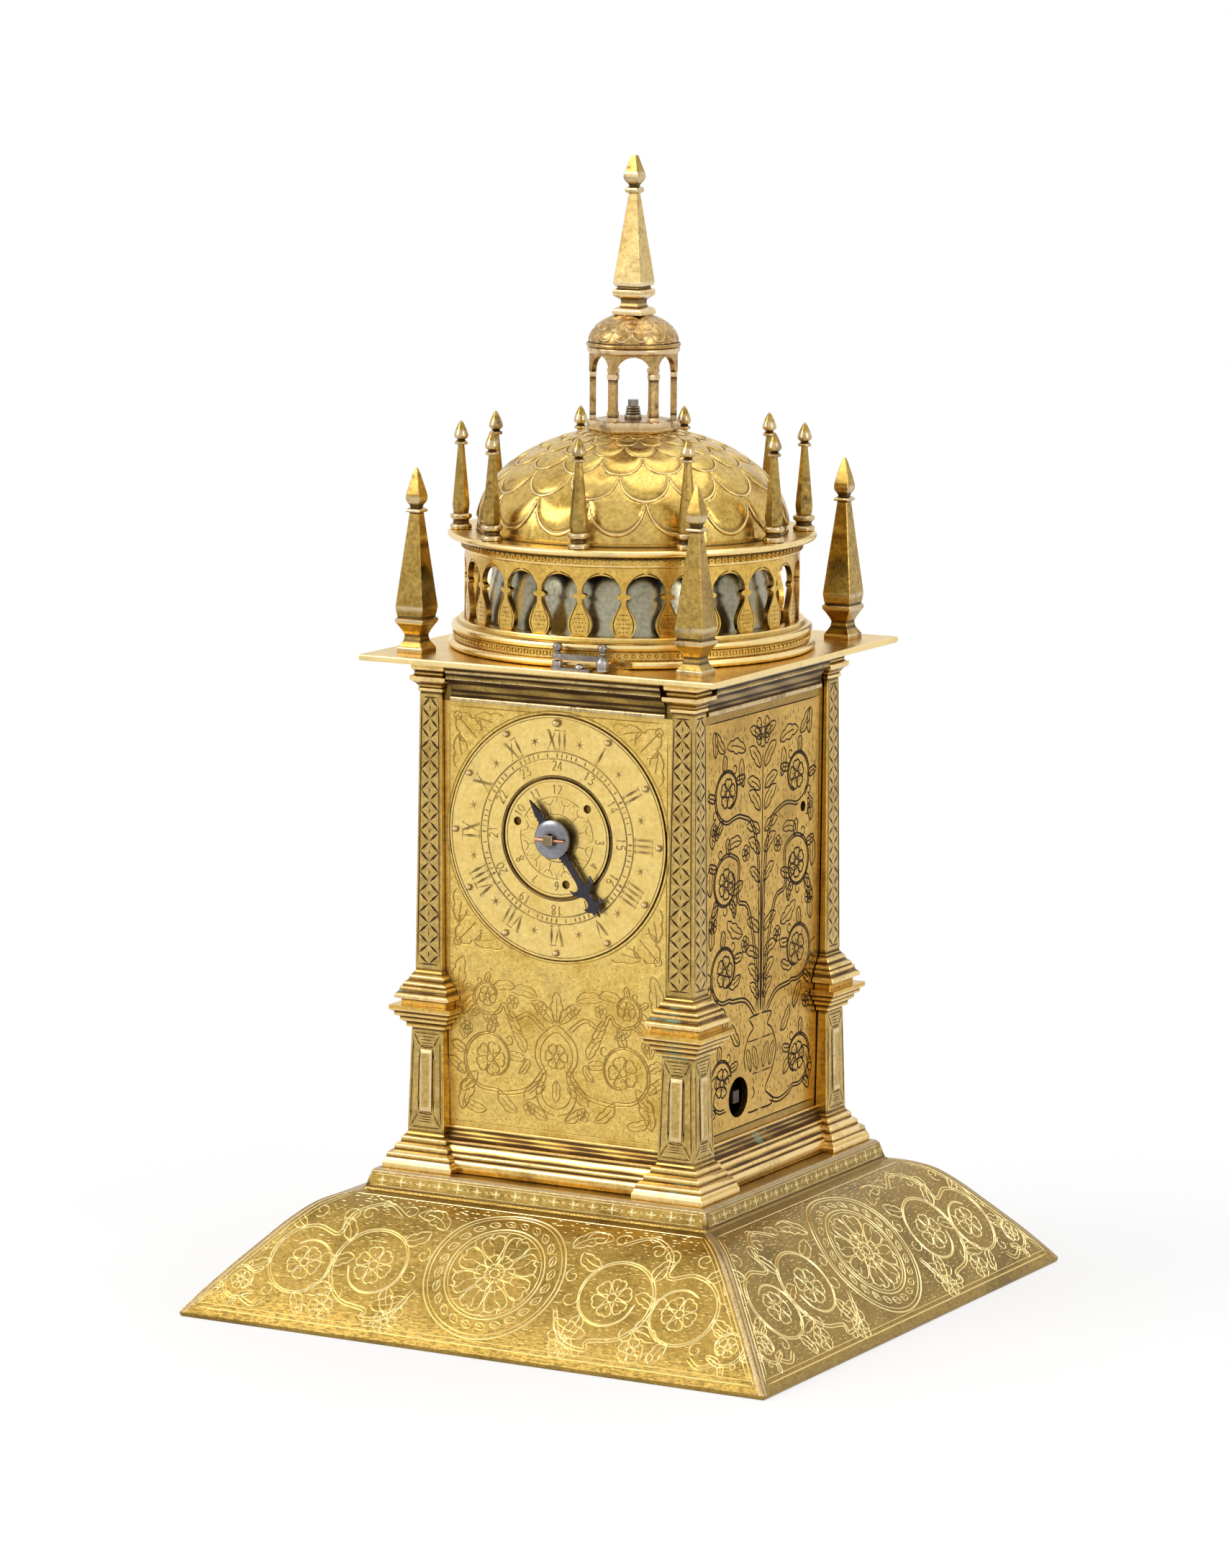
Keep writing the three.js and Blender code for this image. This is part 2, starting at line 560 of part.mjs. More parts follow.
const hourAt = { x: 0, z: dial.high };
const greatHigh = dial.high - meshDistance(teeth.hour, teeth.hourPinion);
const greatAt = { x: 0, z: greatHigh };
const centreAt = climbed(greatAt, train.centreX, meshDistance(teeth.great, teeth.pinion));
const thirdAt = climbed(centreAt, train.thirdX, meshDistance(teeth.centre, teeth.pinion));
const crownAt = climbed(thirdAt, train.crownX, meshDistance(teeth.third, teeth.pinion));
const discBack = -body.half + dial.recessDeep - (dial.ringThick - alarmDisc.thick);
const handBack = -body.half + dial.recessDeep - dial.ringThick - dial.pinHigh - gap;

// Everything on a Y arbor is drawn with y going back: a piece's layer is its back face
const onArbor = (geometry, at, backY) => alongY(geometry).translate(at.x, backY, at.z);

function hourArbor() {
  const wheel = gear(teeth.hour, going.wheelThick);
  const tipAt = handBack - hand.thick - collet.dome - collet.proud;
  const shaft = rod(arbor.winding, 0, layer.hour - tipAt - collet.proud);
  const half = collet.square / 2;
  const end = box([-half, -half, 0], [half, half, layer.hour - tipAt]);
  const tail = rod(arbor.pivot, -(frame.front - layer.hour) - frame.thick / 2, lap);
  return onArbor(joined(wheel, shaft, end, tail), hourAt, layer.hour);
}

// One train wheel: its wheel, its pinion and an arbor whose pivots sit in both plates
function trainWheel(at, wheel, wheelBack, pinion, pinionBack) {
  const rear = frame.back - gap;
  const front = frame.front + frame.thick + gap;
  const pivotLong = frame.thick * 0.8 + gap;
  const shaft = onArbor(rod(arbor.radius, 0, rear - front), at, rear);
  const pivots = onArbor(rod(arbor.pivot, -pivotLong, rear - front + pivotLong, pivotSides), at, rear);
  return joined(shaft, pivots, onArbor(wheel, at, wheelBack), onArbor(pinion, at, pinionBack));
}

function goingBarrel() {
  const barrelBack = going.barrelFront + going.barrelLong;
  const wheel = onArbor(gear(teeth.great, going.wheelThick), greatAt, layer.great);
  const barrel = onArbor(rod(going.barrel, 0, going.barrelLong, midSides), greatAt, barrelBack);
  const front = layer.hour - going.wheelThick;
  const shaft = onArbor(rod(arbor.winding, 0, frame.back + frame.thick + gap - front), greatAt,
    frame.back + frame.thick + gap);
  const pinion = onArbor(gear(teeth.hourPinion, going.wheelThick, hourPinionTurn), greatAt, layer.hour);
  const half = arbor.square / 2;
  const winding = box([-half, frame.back, greatHigh - half], [half, going.windEnd, greatHigh + half]);
  return joined(wheel, barrel, shaft, pinion, winding);
}

const hourPinionTurn = meshTurn(hourAt, greatAt, teeth.hour, 0, teeth.hourPinion);
const centreTurn = meshTurn(greatAt, centreAt, teeth.great, 0, teeth.pinion);
const thirdTurn = meshTurn(centreAt, thirdAt, teeth.centre, 0, teeth.pinion);
const crownTurn = meshTurn(thirdAt, crownAt, teeth.third, 0, teeth.pinion);

function centreWheel() {
  const thick = going.wheelThick;
  return trainWheel(centreAt, gear(teeth.centre, thick), layer.centre,
    gear(teeth.pinion, thick * 2, centreTurn), layer.great + thick / 2);
}

function thirdWheel() {
  const thick = going.wheelThick;
  return trainWheel(thirdAt, gear(teeth.third, thick), layer.third,
    gear(teeth.pinion, thick * 2, thirdTurn), layer.centre + thick / 2);
}

// Crown wheel: a shallow cup whose rim carries saw teeth that point back at the verge
function crownWheelPiece() {
  const c = crownWheel;
  const thick = going.wheelThick;
  const pitch = (2 * Math.PI * c.radius) / teeth.crown;
  const rimTop = c.disc + c.cup;
  const bay = outlineShape([[-lap, 0], [pitch, 0], [pitch, rimTop + c.tooth],
    [pitch - c.toothTip, rimTop + c.tooth], [pitch - c.toothFoot, rimTop], [-lap, rimTop]]);
  const bays = [];
  for (let tooth = 0; tooth < teeth.crown; tooth += 1) {
    bays.push(rolled(sheet(bay, c.rim), c.radius).rotateZ((tooth / teeth.crown) * 2 * Math.PI));
  }
  const disc = rod(c.radius - c.rim / 2, 0, c.disc, midSides);
  const cup = joined(disc, ...bays).rotateX(-Math.PI / 2).translate(crownAt.x, layer.crown - c.disc, crownAt.z);
  const pinion = gear(teeth.pinion, thick * 2, crownTurn);
  const front = frame.front + frame.thick + gap;
  const pivotLong = frame.thick * 0.8 + gap;
  const rear = verge.earFront + verge.earThick * 0.8;
  return joined(cup, onArbor(rod(arbor.radius, 0, layer.crown - front), crownAt, layer.crown),
    onArbor(rod(arbor.pivot, 0, rear - front + pivotLong, pivotSides), crownAt, rear),
    onArbor(pinion, crownAt, layer.third + thick / 2));
}

const vergeY = layer.crown + crownWheel.cup + crownWheel.tooth + verge.ahead;

function balanceWheel() {
  const v = verge;
  const staff = rod(v.radius, v.foot - v.potence / 2, v.top + lap);
  const flags = [];
  for (const side of [-1, 1]) {
    const flag = box([-v.palletThick / 2, -v.pallet, -v.palletHigh / 2], [v.palletThick / 2, 0, v.palletHigh / 2]);
    flags.push(flag.rotateZ(side * v.palletTurn * degrees)
      .translate(0, 0, crownAt.z + side * (crownWheel.radius - crownWheel.rim / 2)));
  }
  const b = balance;
  const inner = b.radius - b.rim;
  const rim = turned([[inner, b.level], [b.radius, b.level], [b.radius, b.level + b.high],
    [inner, b.level + b.high], [inner, b.level]], midSides);
  const spoke = box([-inner - lap, -b.spoke / 2, b.level], [inner + lap, b.spoke / 2, b.level + b.high / 2]);
  const cross = spoke.clone().rotateZ(Math.PI / 2);
  return joined(staff, ...flags, spoke, cross, rod(b.hub, b.level - lap, b.level + b.high), rim)
    .translate(crownAt.x, vergeY, 0);
}

function balanceCock() {
  const c = cock;
  const back = frame.back + frame.thick;
  const profile = [[back, c.foot], [back + c.behind, c.foot], [back + c.behind, c.level + c.thick],
    [vergeY - c.reach, c.level + c.thick], [vergeY - c.reach, c.level], [back + c.behind - c.thick, c.level],
    [back + c.behind - c.thick, c.foot + c.footHigh], [back, c.foot + c.footHigh]];
  const bar = sheet(outlineShape(profile), c.wide).rotateX(Math.PI / 2).rotateZ(Math.PI / 2)
    .translate(crownAt.x - c.wide / 2, 0, 0);
  return cut(bar, bore(verge.radius, c.level - overrun, c.level + c.thick + overrun).translate(crownAt.x, vergeY, 0));
}

function uprightPlate(back, ...extra) {
  const flat = box([-frame.half, back - frame.thick, foot.riserTop], [frame.half, back, frame.top]);
  const window = box([-frame.window, back - frame.thick - overrun, frame.windowFoot],
    [frame.window, back + overrun, frame.windowTop]);
  const whole = extra.length ? joined(flat, ...extra) : flat;
  return cut(whole, window);
}

function pivotHoles(places, from, to, radius = arbor.pivot, sides = pivotSides) {
  return places.map((at) => onArbor(bore(radius, -overrun, to - from + overrun, sides), at, to));
}

function frontPlate() {
  const [low, high] = [frame.front, frame.front + frame.thick];
  return cut(uprightPlate(high), ...pivotHoles([centreAt, thirdAt, crownAt, hourAt], low, high),
    ...pivotHoles([greatAt], low, high, arbor.winding, smallSides));
}

function backPlate() {
  const [low, high] = [frame.back, frame.back + frame.thick];
  const pillars = [-1, 1].flatMap((side) => [frame.pillarLow, frame.pillarHigh].map((z) => onArbor(
    rod(frame.pillar, 0, low - frame.front - frame.thick + lap), { x: side * frame.pillarX, z }, low + lap)));
  const h = hammer;
  const lugs = [h.lugLow, h.lugHigh].map((z) => box([h.x - h.lug, h.y - h.lug, z],
    [h.x + h.lug, low + lap, z + h.lugThick]));
  const v = verge;
  const potence = box([crownAt.x - v.potence, vergeY - v.potence, v.foot - v.potence],
    [crownAt.x + v.potence, low + lap, v.foot]);
  const vergeHole = bore(v.radius, v.foot - v.potence - overrun, v.foot + overrun).translate(crownAt.x, vergeY, 0);
  const hammerHole = bore(h.radius, h.lugLow - overrun, h.lugHigh + h.lugThick + overrun).translate(h.x, h.y, 0);
  // an arm beside the verge carries the rear pivot of the crown wheel inside its cup
  const armAt = (left, right, front, back) => box([crownAt.x + left, front, crownAt.z - v.armHalf],
    [crownAt.x + right, back, crownAt.z + v.armHalf]);
  const arm = armAt(-v.armLeft, -v.armRight, v.earFront, low + lap);
  const ear = armAt(-v.armLeft, v.armRight, v.earFront, v.earFront + v.earThick);
  const earHole = onArbor(bore(arbor.pivot, -overrun, v.earThick + overrun, pivotSides), crownAt,
    v.earFront + v.earThick);
  const plate = uprightPlate(high, ...pillars, ...lugs, potence, arm, ear);
  return cut(plate, vergeHole, hammerHole, earHole, ...pivotHoles([centreAt, thirdAt], low, high),
    ...pivotHoles([greatAt], low, high, arbor.winding, smallSides));
}

// Alarm work: everything turns on X, so a piece's place is its left face
const onCross = (geometry, y, z, leftX) => alongX(geometry).translate(leftX, y, z);
const alarmAt = { x: alarm.y, z: alarm.z };
const alarmSecondAt = climbed(alarmAt, alarm.secondY, meshDistance(teeth.great, teeth.pinion));

function alarmFrame() {
  const a = alarm;
  const outer = a.cheekX + a.cheek;
  const profile = [[-outer, 0], [outer, 0], [outer, a.cheekTop - foot.riserTop], [a.cheekX, a.cheekTop - foot.riserTop],
    [a.cheekX, a.cheek], [-a.cheekX, a.cheek], [-a.cheekX, a.cheekTop - foot.riserTop], [-outer, a.cheekTop - foot.riserTop]];
  const bracket = sheet(outlineShape(profile), a.cheekBack - a.cheekFront).rotateX(Math.PI / 2)
    .translate(0, a.cheekBack, foot.riserTop);
  const long = 2 * outer + 2 * overrun;
  return cut(bracket, onCross(bore(arbor.winding, 0, long), a.y, a.z, -outer - overrun),
    onCross(bore(arbor.pivot, 0, long), alarmSecondAt.x, alarmSecondAt.z, -outer - overrun));
}

function alarmBarrel() {
  const a = alarm;
  const drumBody = onCross(rod(a.barrel, 0, a.barrelRight - a.barrelLeft, midSides), a.y, a.z, a.barrelLeft);
  const hub = onCross(rod(arbor.winding + 2 * arbor.radius, 0, a.barrelLeft - a.wheelX + lap), a.y, a.z, a.wheelX);
  const wheel = onCross(gear(teeth.great, going.wheelThick), a.y, a.z, a.wheelX);
  const hole = onCross(bore(arbor.winding, 0, a.barrelRight - a.wheelX + 2 * overrun), a.y, a.z, a.wheelX - overrun);
  return cut(joined(drumBody, hub, wheel), hole);
}

function alarmArbor() {
  const a = alarm;
  const left = -a.cheekX - a.cheek;
  const shaft = onCross(rod(arbor.winding, 0, a.cheekX + a.cheek - left + gap), a.y, a.z, left);
  const half = arbor.square / 2;
  const end = box([a.cheekX, a.y - half, a.z - half], [a.windEnd, a.y + half, a.z + half]);
  return joined(shaft, end);
}

function alarmPinWheel() {
  const a = alarm;
  const { x: y, z } = alarmSecondAt;
  const inside = a.cheekX - gap;
  const shaft = onCross(rod(arbor.radius, 0, 2 * inside), y, z, -inside);
  const pivots = onCross(rod(arbor.pivot, 0, 2 * (inside + a.cheek)), y, z, -inside - a.cheek);
  const turn = meshTurn({ x: -a.z, z: a.y }, { x: -z, z: y }, teeth.great, 0, teeth.pinion);
  const pinion = onCross(gear(teeth.pinion, going.wheelThick * 2, turn), y, z, a.wheelX - going.wheelThick / 2);
  const disc = onCross(rod(a.pinWheel, 0, going.wheelThick, midSides), y, z, a.pinWheelX);
  const pins = [];
  for (let i = 0; i < a.pins; i += 1) {
    const angle = (i / a.pins) * 2 * Math.PI;
    pins.push(onCross(rod(a.pin, -lap, a.pinLong, 6), y + a.pinAt * Math.sin(angle),
      z + a.pinAt * Math.cos(angle), a.pinWheelX + going.wheelThick));
  }
  return joined(shaft, pivots, pinion, disc, ...pins);
}

function hammerPiece() {
  const h = hammer;
  const headAt = bellRadius - bell.wall - h.headInside;
  const head = new THREE.Vector2(headAt * Math.cos(h.headTurn * degrees), headAt * Math.sin(h.headTurn * degrees));
  const reach = head.clone().sub(new THREE.Vector2(h.x, h.y));
  const turn = Math.atan2(reach.y, reach.x);
  const armLevel = plateTop + h.armAbovePlate;
  const staff = rod(h.radius, h.foot, armLevel + h.armHigh).translate(h.x, h.y, 0);
  const arm = box([0, -h.armWide / 2, armLevel], [reach.length(), h.armWide / 2, armLevel + h.armHigh])
    .rotateZ(turn).translate(h.x, h.y, 0);
  const knock = turned([[0, 0], [h.head, 0], [h.head, h.headHigh - h.head], [h.head / 2, h.headHigh],
    [0, h.headHigh]], smallSides).translate(head.x, head.y, armLevel);
  const tail = box([-h.armWide / 2, -h.tailLong, h.foot], [h.armWide / 2, 0, h.foot + h.armHigh]).translate(h.x, h.y, 0);
  return joined(staff, arm, knock, tail);
}

// Bell drum
const plateTop = bodyTop + gallery.thick;
const arcadeFoot = plateTop + drum.high;
const flangeFoot = arcadeFoot + arcade.high;
const flangeTop = flangeFoot + flange.high;
const domeTop = flangeTop + dome.foot + dome.rise;
const bellMouth = plateTop + bell.mouthAbovePlate;
const bellCrown = domeTop - bell.underDome;
const boltTop = domeTop + bolt.aboveDome;
const lanternTop = domeTop + lantern.top;

function drumBaseRing() {
  const d = drum;
  const low = plateTop;
  const bandFoot = low + d.torusHigh;
  const beadFoot = bandFoot + d.bandHigh;
  const beadTop = beadFoot + d.beadHigh;
  const [band, bead, step] = [d.band, d.bead, d.step].map((out) => arcadeOuter + out);
  const loop = [
    [drumInner, low], [drumTorus - d.torusHigh / 3, low], [drumTorus, low + d.torusHigh / 2], [band, bandFoot],
    [band, beadFoot], [bead, beadFoot],
    [bead, beadTop - d.beadHigh / 4], [step, beadTop + d.beadHigh / 4], [step, arcadeFoot],
    [drumInner, arcadeFoot], [drumInner, low]];
  const l = latch;
  const left = l.postX + l.barLong - l.notchLead;
  const deep = Math.sqrt(drumTorus * drumTorus - left * left);
  const notch = box([left, -deep - overrun, low - overrun], [left + l.notchWide, -deep + l.notchDeep + l.notchWide / 2,
    low + l.notchHigh]);
  return cut(turned(loop, ringSides), notch);
}

// One bay of the arcade, laid flat: the baluster in the middle and half an arch on each side
function arcadeBay() {
  const a = arcade;
  const half = (Math.PI * arcadeOuter) / a.bays;
  const span = half - a.neck;
  const arch = [];
  for (const turn of [30, 60]) {
    arch.push([half - span * Math.sin(turn * degrees),
      a.spring + (a.crown - a.spring) * Math.cos(turn * degrees)]);
  }
  const edge = half + lap;
  const right = [
    [a.vaseFoot, 0], [a.vase, a.vaseAt], [a.neck, a.collarAt - a.collarHigh], [a.collar, a.collarAt],
    [a.collar, a.collarAt + a.collarHigh / 2], [a.neck, a.collarAt + a.collarHigh], ...arch.reverse(), [edge, a.crown], [edge, a.high]];
  const left = right.map(([x, y]) => [-x, y]).reverse();
  const shape = outlineShape([...right, ...left]);
  return rolled(sheet(shape, a.thick), arcadeOuter);
}

function drumArcade() {
  const bays = [];
  for (let bay = 0; bay < arcade.bays; bay += 1) {
    bays.push(arcadeBay().rotateZ((bay / arcade.bays) * 2 * Math.PI));
  }
  return joined(...bays).translate(0, 0, arcadeFoot);
}

function drumCornice() {
  const f = flange;
  const friezeTop = flangeFoot + f.friezeHigh;
  const inner = dome.radius - f.insideDome;
  const frieze = arcadeOuter + f.friezeOut;
  const outer = spireletPlace + f.beyondSpirelet;
  const loop = [
    [inner, flangeFoot], [frieze - f.cove, flangeFoot], [frieze, flangeFoot + f.cove],
    [frieze, friezeTop], [outer, flangeTop - 2 * f.edge], [outer, flangeTop - f.edge],
    [outer - f.edge / 2, flangeTop], [inner, flangeTop], [inner, flangeFoot]];
  return turned(loop, ringSides);
}

function spireletPiece() {
  const s = spirelet;
  const [disc, waist, seat, widest, top, ring, budFoot, bud] = s.levelShares.map((share) => s.high * share);
  return turned([
    [0, 0], [s.disc, 0], [s.disc, disc], [s.waist, waist], [s.disc, seat], [s.body, widest], [s.top, top], [s.ring, ring], [s.top, budFoot], [s.bud, bud], [s.tip, s.high],
    [0, s.high]], spireSides, s.faceTurn);
}

function domeArc(radius, rise, base, rows) {
  const arc = [];
  for (let row = 0; row < rows; row += 1) {
    const turn = (row / rows) * (Math.PI / 2);
    arc.push([radius * Math.cos(turn), base + rise * Math.sin(turn)]);
  }
  return [...arc, [0, base + rise]];
}

function domeShell() {
  const d = dome;
  const outside = [[0, flangeTop], [d.radius, flangeTop],
    ...domeArc(d.radius, d.rise, flangeTop + d.foot, d.rows)];
  const inner = d.radius - d.wall;
  const inside = [[0, flangeTop - overrun], [inner, flangeTop - overrun],
    ...domeArc(inner, d.rise - d.wall, flangeTop + d.foot, d.rows - 2)];
  return cut(turned(outside, ringSides), turned(inside, ringSides / 2),
    rod(bolt.radius + gap, flangeTop, domeTop + overrun));
}


function lanternPiece() {
  const l = lantern;
  const outline = (radius, from, to) => turned([[0, from], [radius, from], [radius, to], [0, to]], l.sides, 0);
  const seatFoot = domeTop - l.sunk;
  const [floorAt, impost, spring, crownAbove] = [l.floor, l.impost, l.spring, l.crown].map((high) => domeTop + high);
  const whole = joined(outline(l.seat, seatFoot, floorAt), outline(l.radius, floorAt - lap, lanternTop));
  const hollow = outline(l.radius - l.wall, seatFoot - overrun, lanternTop + overrun);
  const archPoints = [[-l.opening / 2, floorAt], [l.opening / 2, floorAt], [l.opening / 2, impost],
    [l.archWide / 2, impost]];
  for (let step = 0; step <= l.arcSteps; step += 1) {
    const turn = (step / l.arcSteps) * Math.PI;
    archPoints.push([(l.archWide / 2) * Math.cos(turn), spring + (crownAbove - spring) * Math.sin(turn)]);
  }
  archPoints.push([-l.archWide / 2, impost], [-l.opening / 2, impost]);
  const tools = [hollow];
  for (let side = 0; side < l.sides / 2; side += 1) {
    const through = alongY(sheet(outlineShape(archPoints), 2 * l.seat + 2 * overrun))
      .translate(0, l.seat + overrun, 0).rotateZ(((side + 0.5) / l.sides) * 2 * Math.PI);
    tools.push(through);
  }
  const crown = turned([[0, flangeTop], [dome.radius + gap, flangeTop],
    ...domeArc(dome.radius + gap, dome.rise + gap, flangeTop + dome.foot, 4 * dome.rows)], ringSides);
  return cut(whole, ...tools, crown).rotateZ(l.turn * degrees);
}

function cupolaShell() {
  const c = cupola;
  const low = lanternTop;
  const arcFoot = low + c.rimHigh;
  const arc = (radius, rise, rows) => domeArc(radius, rise, arcFoot, rows).slice(0, -1)
    .filter(([r]) => r > c.flat);
  const top = low + c.rimHigh + c.rise * Math.sqrt(1 - (c.flat / c.radius) ** 2);
  const innerTop = top - c.wall;
  const outside = [[c.radius - c.wall, low], [c.rim, low], [c.rim, arcFoot - c.rimHigh / 3],
    ...arc(c.radius, c.rise, c.rows), [c.flat, top], [0, top]];
  const inside = arc(c.radius - c.wall, c.rise - c.wall, c.rows - 1);
  return turned([...outside, [0, innerTop], [c.flat - c.wall, innerTop], ...inside.reverse(),
    [c.radius - c.wall, low]], midSides);
}

const cupolaTop = lanternTop + cupola.rimHigh + cupola.rise * Math.sqrt(1 - (cupola.flat / cupola.radius) ** 2);

function spirePiece() {
  const s = spire;
  const at = s.levelShares.map((share) => s.high * share);
  const [waistFoot, waistTop, cup, lip, neck, low, top, ring, budFoot, bud] = at;
  return squared([
    [0, 0], [s.plate, 0], [s.plate, s.plateHigh], [s.waist, waistFoot], [s.waist, waistTop], [s.cup, cup],
    [s.cup, lip], [s.neck, lip], [s.neck, neck], [s.body, neck], [s.body, low], [s.top, top],
    [s.ring, level(top, ring, 0.3)], [s.ring, ring], [s.top, budFoot], [s.bud, bud],
    [s.tip, s.high], [0, s.high]]);
}

function bellShell() {
  const b = bell;
  const high = bellCrown - bellMouth;
  const outside = b.outlineShares.map(([r, z]) => [bellRadius * r, bellMouth + high * z]);
  const inside = outside.filter((point, i) => i % 2 === 0)
    .map(([r, z]) => [r - b.wall, z > bellMouth ? z - b.wall : z - overrun]);
  const hollow = turned([[0, bellMouth - overrun], ...inside, [0, bellCrown - b.wall]], midSides);
  return cut(turned([[0, bellMouth], ...outside, [0, bellCrown]], midSides), hollow,
    rod(b.boltHole, bellMouth, bellCrown + overrun));
}

function bellBolt() {
  const b = bolt;
  const seat = bellCrown - bell.wall;
  return turned([[0, seat - b.headHigh], [b.head, seat - b.headHigh], [b.head, seat], [b.radius, seat],
    [b.radius, boltTop], [0, boltTop]], smallSides);
}

function bellNut() {
  const b = bolt;
  const low = domeTop;
  const high = low + b.nutHigh;
  const ring = [[b.radius, low], [b.nut, low], [b.nut, low + b.nutHigh / 2], [b.knob, high],
    [b.knob, high + b.knobHigh / 2], [b.knob - gap, high + b.knobHigh / 2], [b.knob - gap, high + b.knobHigh],
    [b.radius, high + b.knobHigh], [b.radius, low]];
  return cut(turned(ring, smallSides), bore(b.radius, low - overrun, high + b.knobHigh + overrun));
}

// Latch: a fixed foot with the hinge post and a round-headed button, and the swinging hasp
function latchPost() {
  const l = latch;
  const low = plateTop;
  const base = box([-l.knuckle, -l.footWide / 2, low], [l.footLong, l.footWide / 2, low + l.footHigh]);
  const block = rod(l.knuckle, low, low + l.barFoot - gap);
  const pin = rod(l.pin, low, low + l.ballHigh);
  const ball = new THREE.SphereGeometry(l.ball, ballSides, ballRows).rotateX(Math.PI / 2).translate(0, 0, low + l.ballHigh);
  const button = turned([[0, low], [l.button, low], [l.button, low + l.buttonHigh / 2],
    [l.button / 2, low + l.buttonHigh], [0, low + l.buttonHigh]], smallSides).translate(l.buttonX, 0, 0);
  return joined(base, block, pin, ball, button).translate(l.postX, latchY, 0);
}

function latchHasp() {
  const l = latch;
  const low = plateTop + l.barFoot;
  const knuckle = rod(l.knuckle, low, low + l.barHigh);
  const bar = box([0, -l.barWide / 2, low], [l.barLong, l.barWide / 2, low + l.barHigh]);
  const pillarFoot = plateTop + gap;
  const pillar = turned([[0, pillarFoot], [l.pillar, pillarFoot], [l.pillar, plateTop + l.pillarHigh * 0.7],
    [l.pin, plateTop + l.pillarHigh], [l.pin, plateTop + l.pillarBall], [0, plateTop + l.pillarBall]], smallSides)
    .translate(l.barLong, 0, 0);
  const ball = new THREE.SphereGeometry(l.ball, ballSides, ballRows).rotateX(Math.PI / 2)
    .translate(l.barLong, 0, plateTop + l.pillarBall);
  const tongue = box([l.barLong - l.tongueWide / 2, 0, pillarFoot], [l.barLong + l.tongueWide / 2, l.tongueLong,
    pillarFoot + l.barHigh]);
  const whole = joined(knuckle, bar, pillar, ball, tongue);
  return cut(whole, bore(l.pin, low - overrun, low + l.barHigh + overrun)).translate(l.postX, latchY, 0);
}

// The whole clock, from the table up
add('foot', footShell(), 'gilt');
add('plinth_frame', plinthFrame(), 'gilt');
for (const { name, turn } of corners) {
  const place = atCorner(turn, corner);
  add(`pedestal_${name}`, cornerSupport(pedestalOutline(), body.half + gap), 'gilt', place, turn);
  add(`pilaster_${name}`, cornerSupport(pilasterOutline(), body.half + gap), 'gilt', place, turn);
}
panels();
add('cornice_frame', corniceFrame(), 'gilt');
add('gallery_plate', galleryPlate(), 'gilt');
for (const { name, turn } of corners) {
  const place = atCorner(turn, obeliskPlace).setZ(plateTop);
  add(`obelisk_${name}`, squared(obeliskOutline(obelisk, obelisk.plate, obelisk.body)), 'gilt', place);
}

add('chapter_ring', chapterRing(), 'paleGilt');
add('alarm_disc', alarmDiscSheet(), 'paleGilt');
add('hour_arbor', hourArbor(), 'brass');
add('hour_hand', hourHand(), 'bluedSteel');
add('hand_collet', handCollet(), 'bluedSteel');

add('movement_front_plate', frontPlate(), 'brass');
add('movement_back_plate', backPlate(), 'brass');
add('going_barrel', goingBarrel(), 'brass');
add('centre_wheel', centreWheel(), 'brass');
add('third_wheel', thirdWheel(), 'brass');
add('crown_wheel', crownWheelPiece(), 'brass');
add('balance', balanceWheel(), 'steel');
add('balance_cock', balanceCock(), 'brass');
add('alarm_frame', alarmFrame(), 'brass');
add('alarm_barrel', alarmBarrel(), 'brass');
add('alarm_winding_arbor', alarmArbor(), 'steel');
add('alarm_pin_wheel', alarmPinWheel(), 'brass');
add('hammer', hammerPiece(), 'steel');

add('drum_base_ring', drumBaseRing(), 'gilt');
add('drum_arcade', drumArcade(), 'gilt', new THREE.Vector3(), drumTurn);
add('drum_cornice', drumCornice(), 'gilt');
for (let i = 0; i < spirelet.count; i += 1) {
  const turn = drumTurn + (360 / spirelet.count) * i;
  const place = new THREE.Vector3(spireletPlace * Math.sin(turn * degrees),
    -spireletPlace * Math.cos(turn * degrees), flangeTop);
  add(`spirelet_${String(i + 1).padStart(2, '0')}`, spireletPiece(), 'gilt', place, turn);
}
add('dome', domeShell(), 'gilt');
add('lantern', lanternPiece(), 'coppery');
add('cupola', cupolaShell(), 'coppery');
add('spire', spirePiece(), 'gilt', new THREE.Vector3(0, 0, cupolaTop));
add('bell', bellShell(), 'bellMetal');
add('bell_bolt', bellBolt(), 'steel');
add('bell_nut', bellNut(), 'steel');
add('latch_post', latchPost(), 'steel');
add('latch_hasp', latchHasp(), 'steel');

export default parts;
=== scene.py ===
# Tower table clock in gilt brass: engraved case, dial, bell drum with dome, lantern and spire.
# Sizes are millimetres; meshes are made in metres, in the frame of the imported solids.
import bpy
import bmesh
import math
import random
import numpy as np
from mathutils import Matrix, Vector
from mathutils.geometry import delaunay_2d_cdt


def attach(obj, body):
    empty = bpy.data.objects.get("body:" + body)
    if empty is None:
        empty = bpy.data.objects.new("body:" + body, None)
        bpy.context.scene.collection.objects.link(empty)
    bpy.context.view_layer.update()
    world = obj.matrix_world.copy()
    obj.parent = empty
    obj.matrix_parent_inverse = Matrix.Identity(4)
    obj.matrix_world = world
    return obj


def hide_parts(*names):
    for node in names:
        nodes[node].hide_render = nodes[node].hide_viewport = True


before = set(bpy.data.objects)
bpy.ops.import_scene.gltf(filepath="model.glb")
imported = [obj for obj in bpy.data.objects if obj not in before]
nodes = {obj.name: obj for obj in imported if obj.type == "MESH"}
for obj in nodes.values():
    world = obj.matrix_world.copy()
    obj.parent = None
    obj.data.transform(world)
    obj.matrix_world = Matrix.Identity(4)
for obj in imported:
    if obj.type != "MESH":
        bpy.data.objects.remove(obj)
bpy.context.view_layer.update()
mm = 0.001

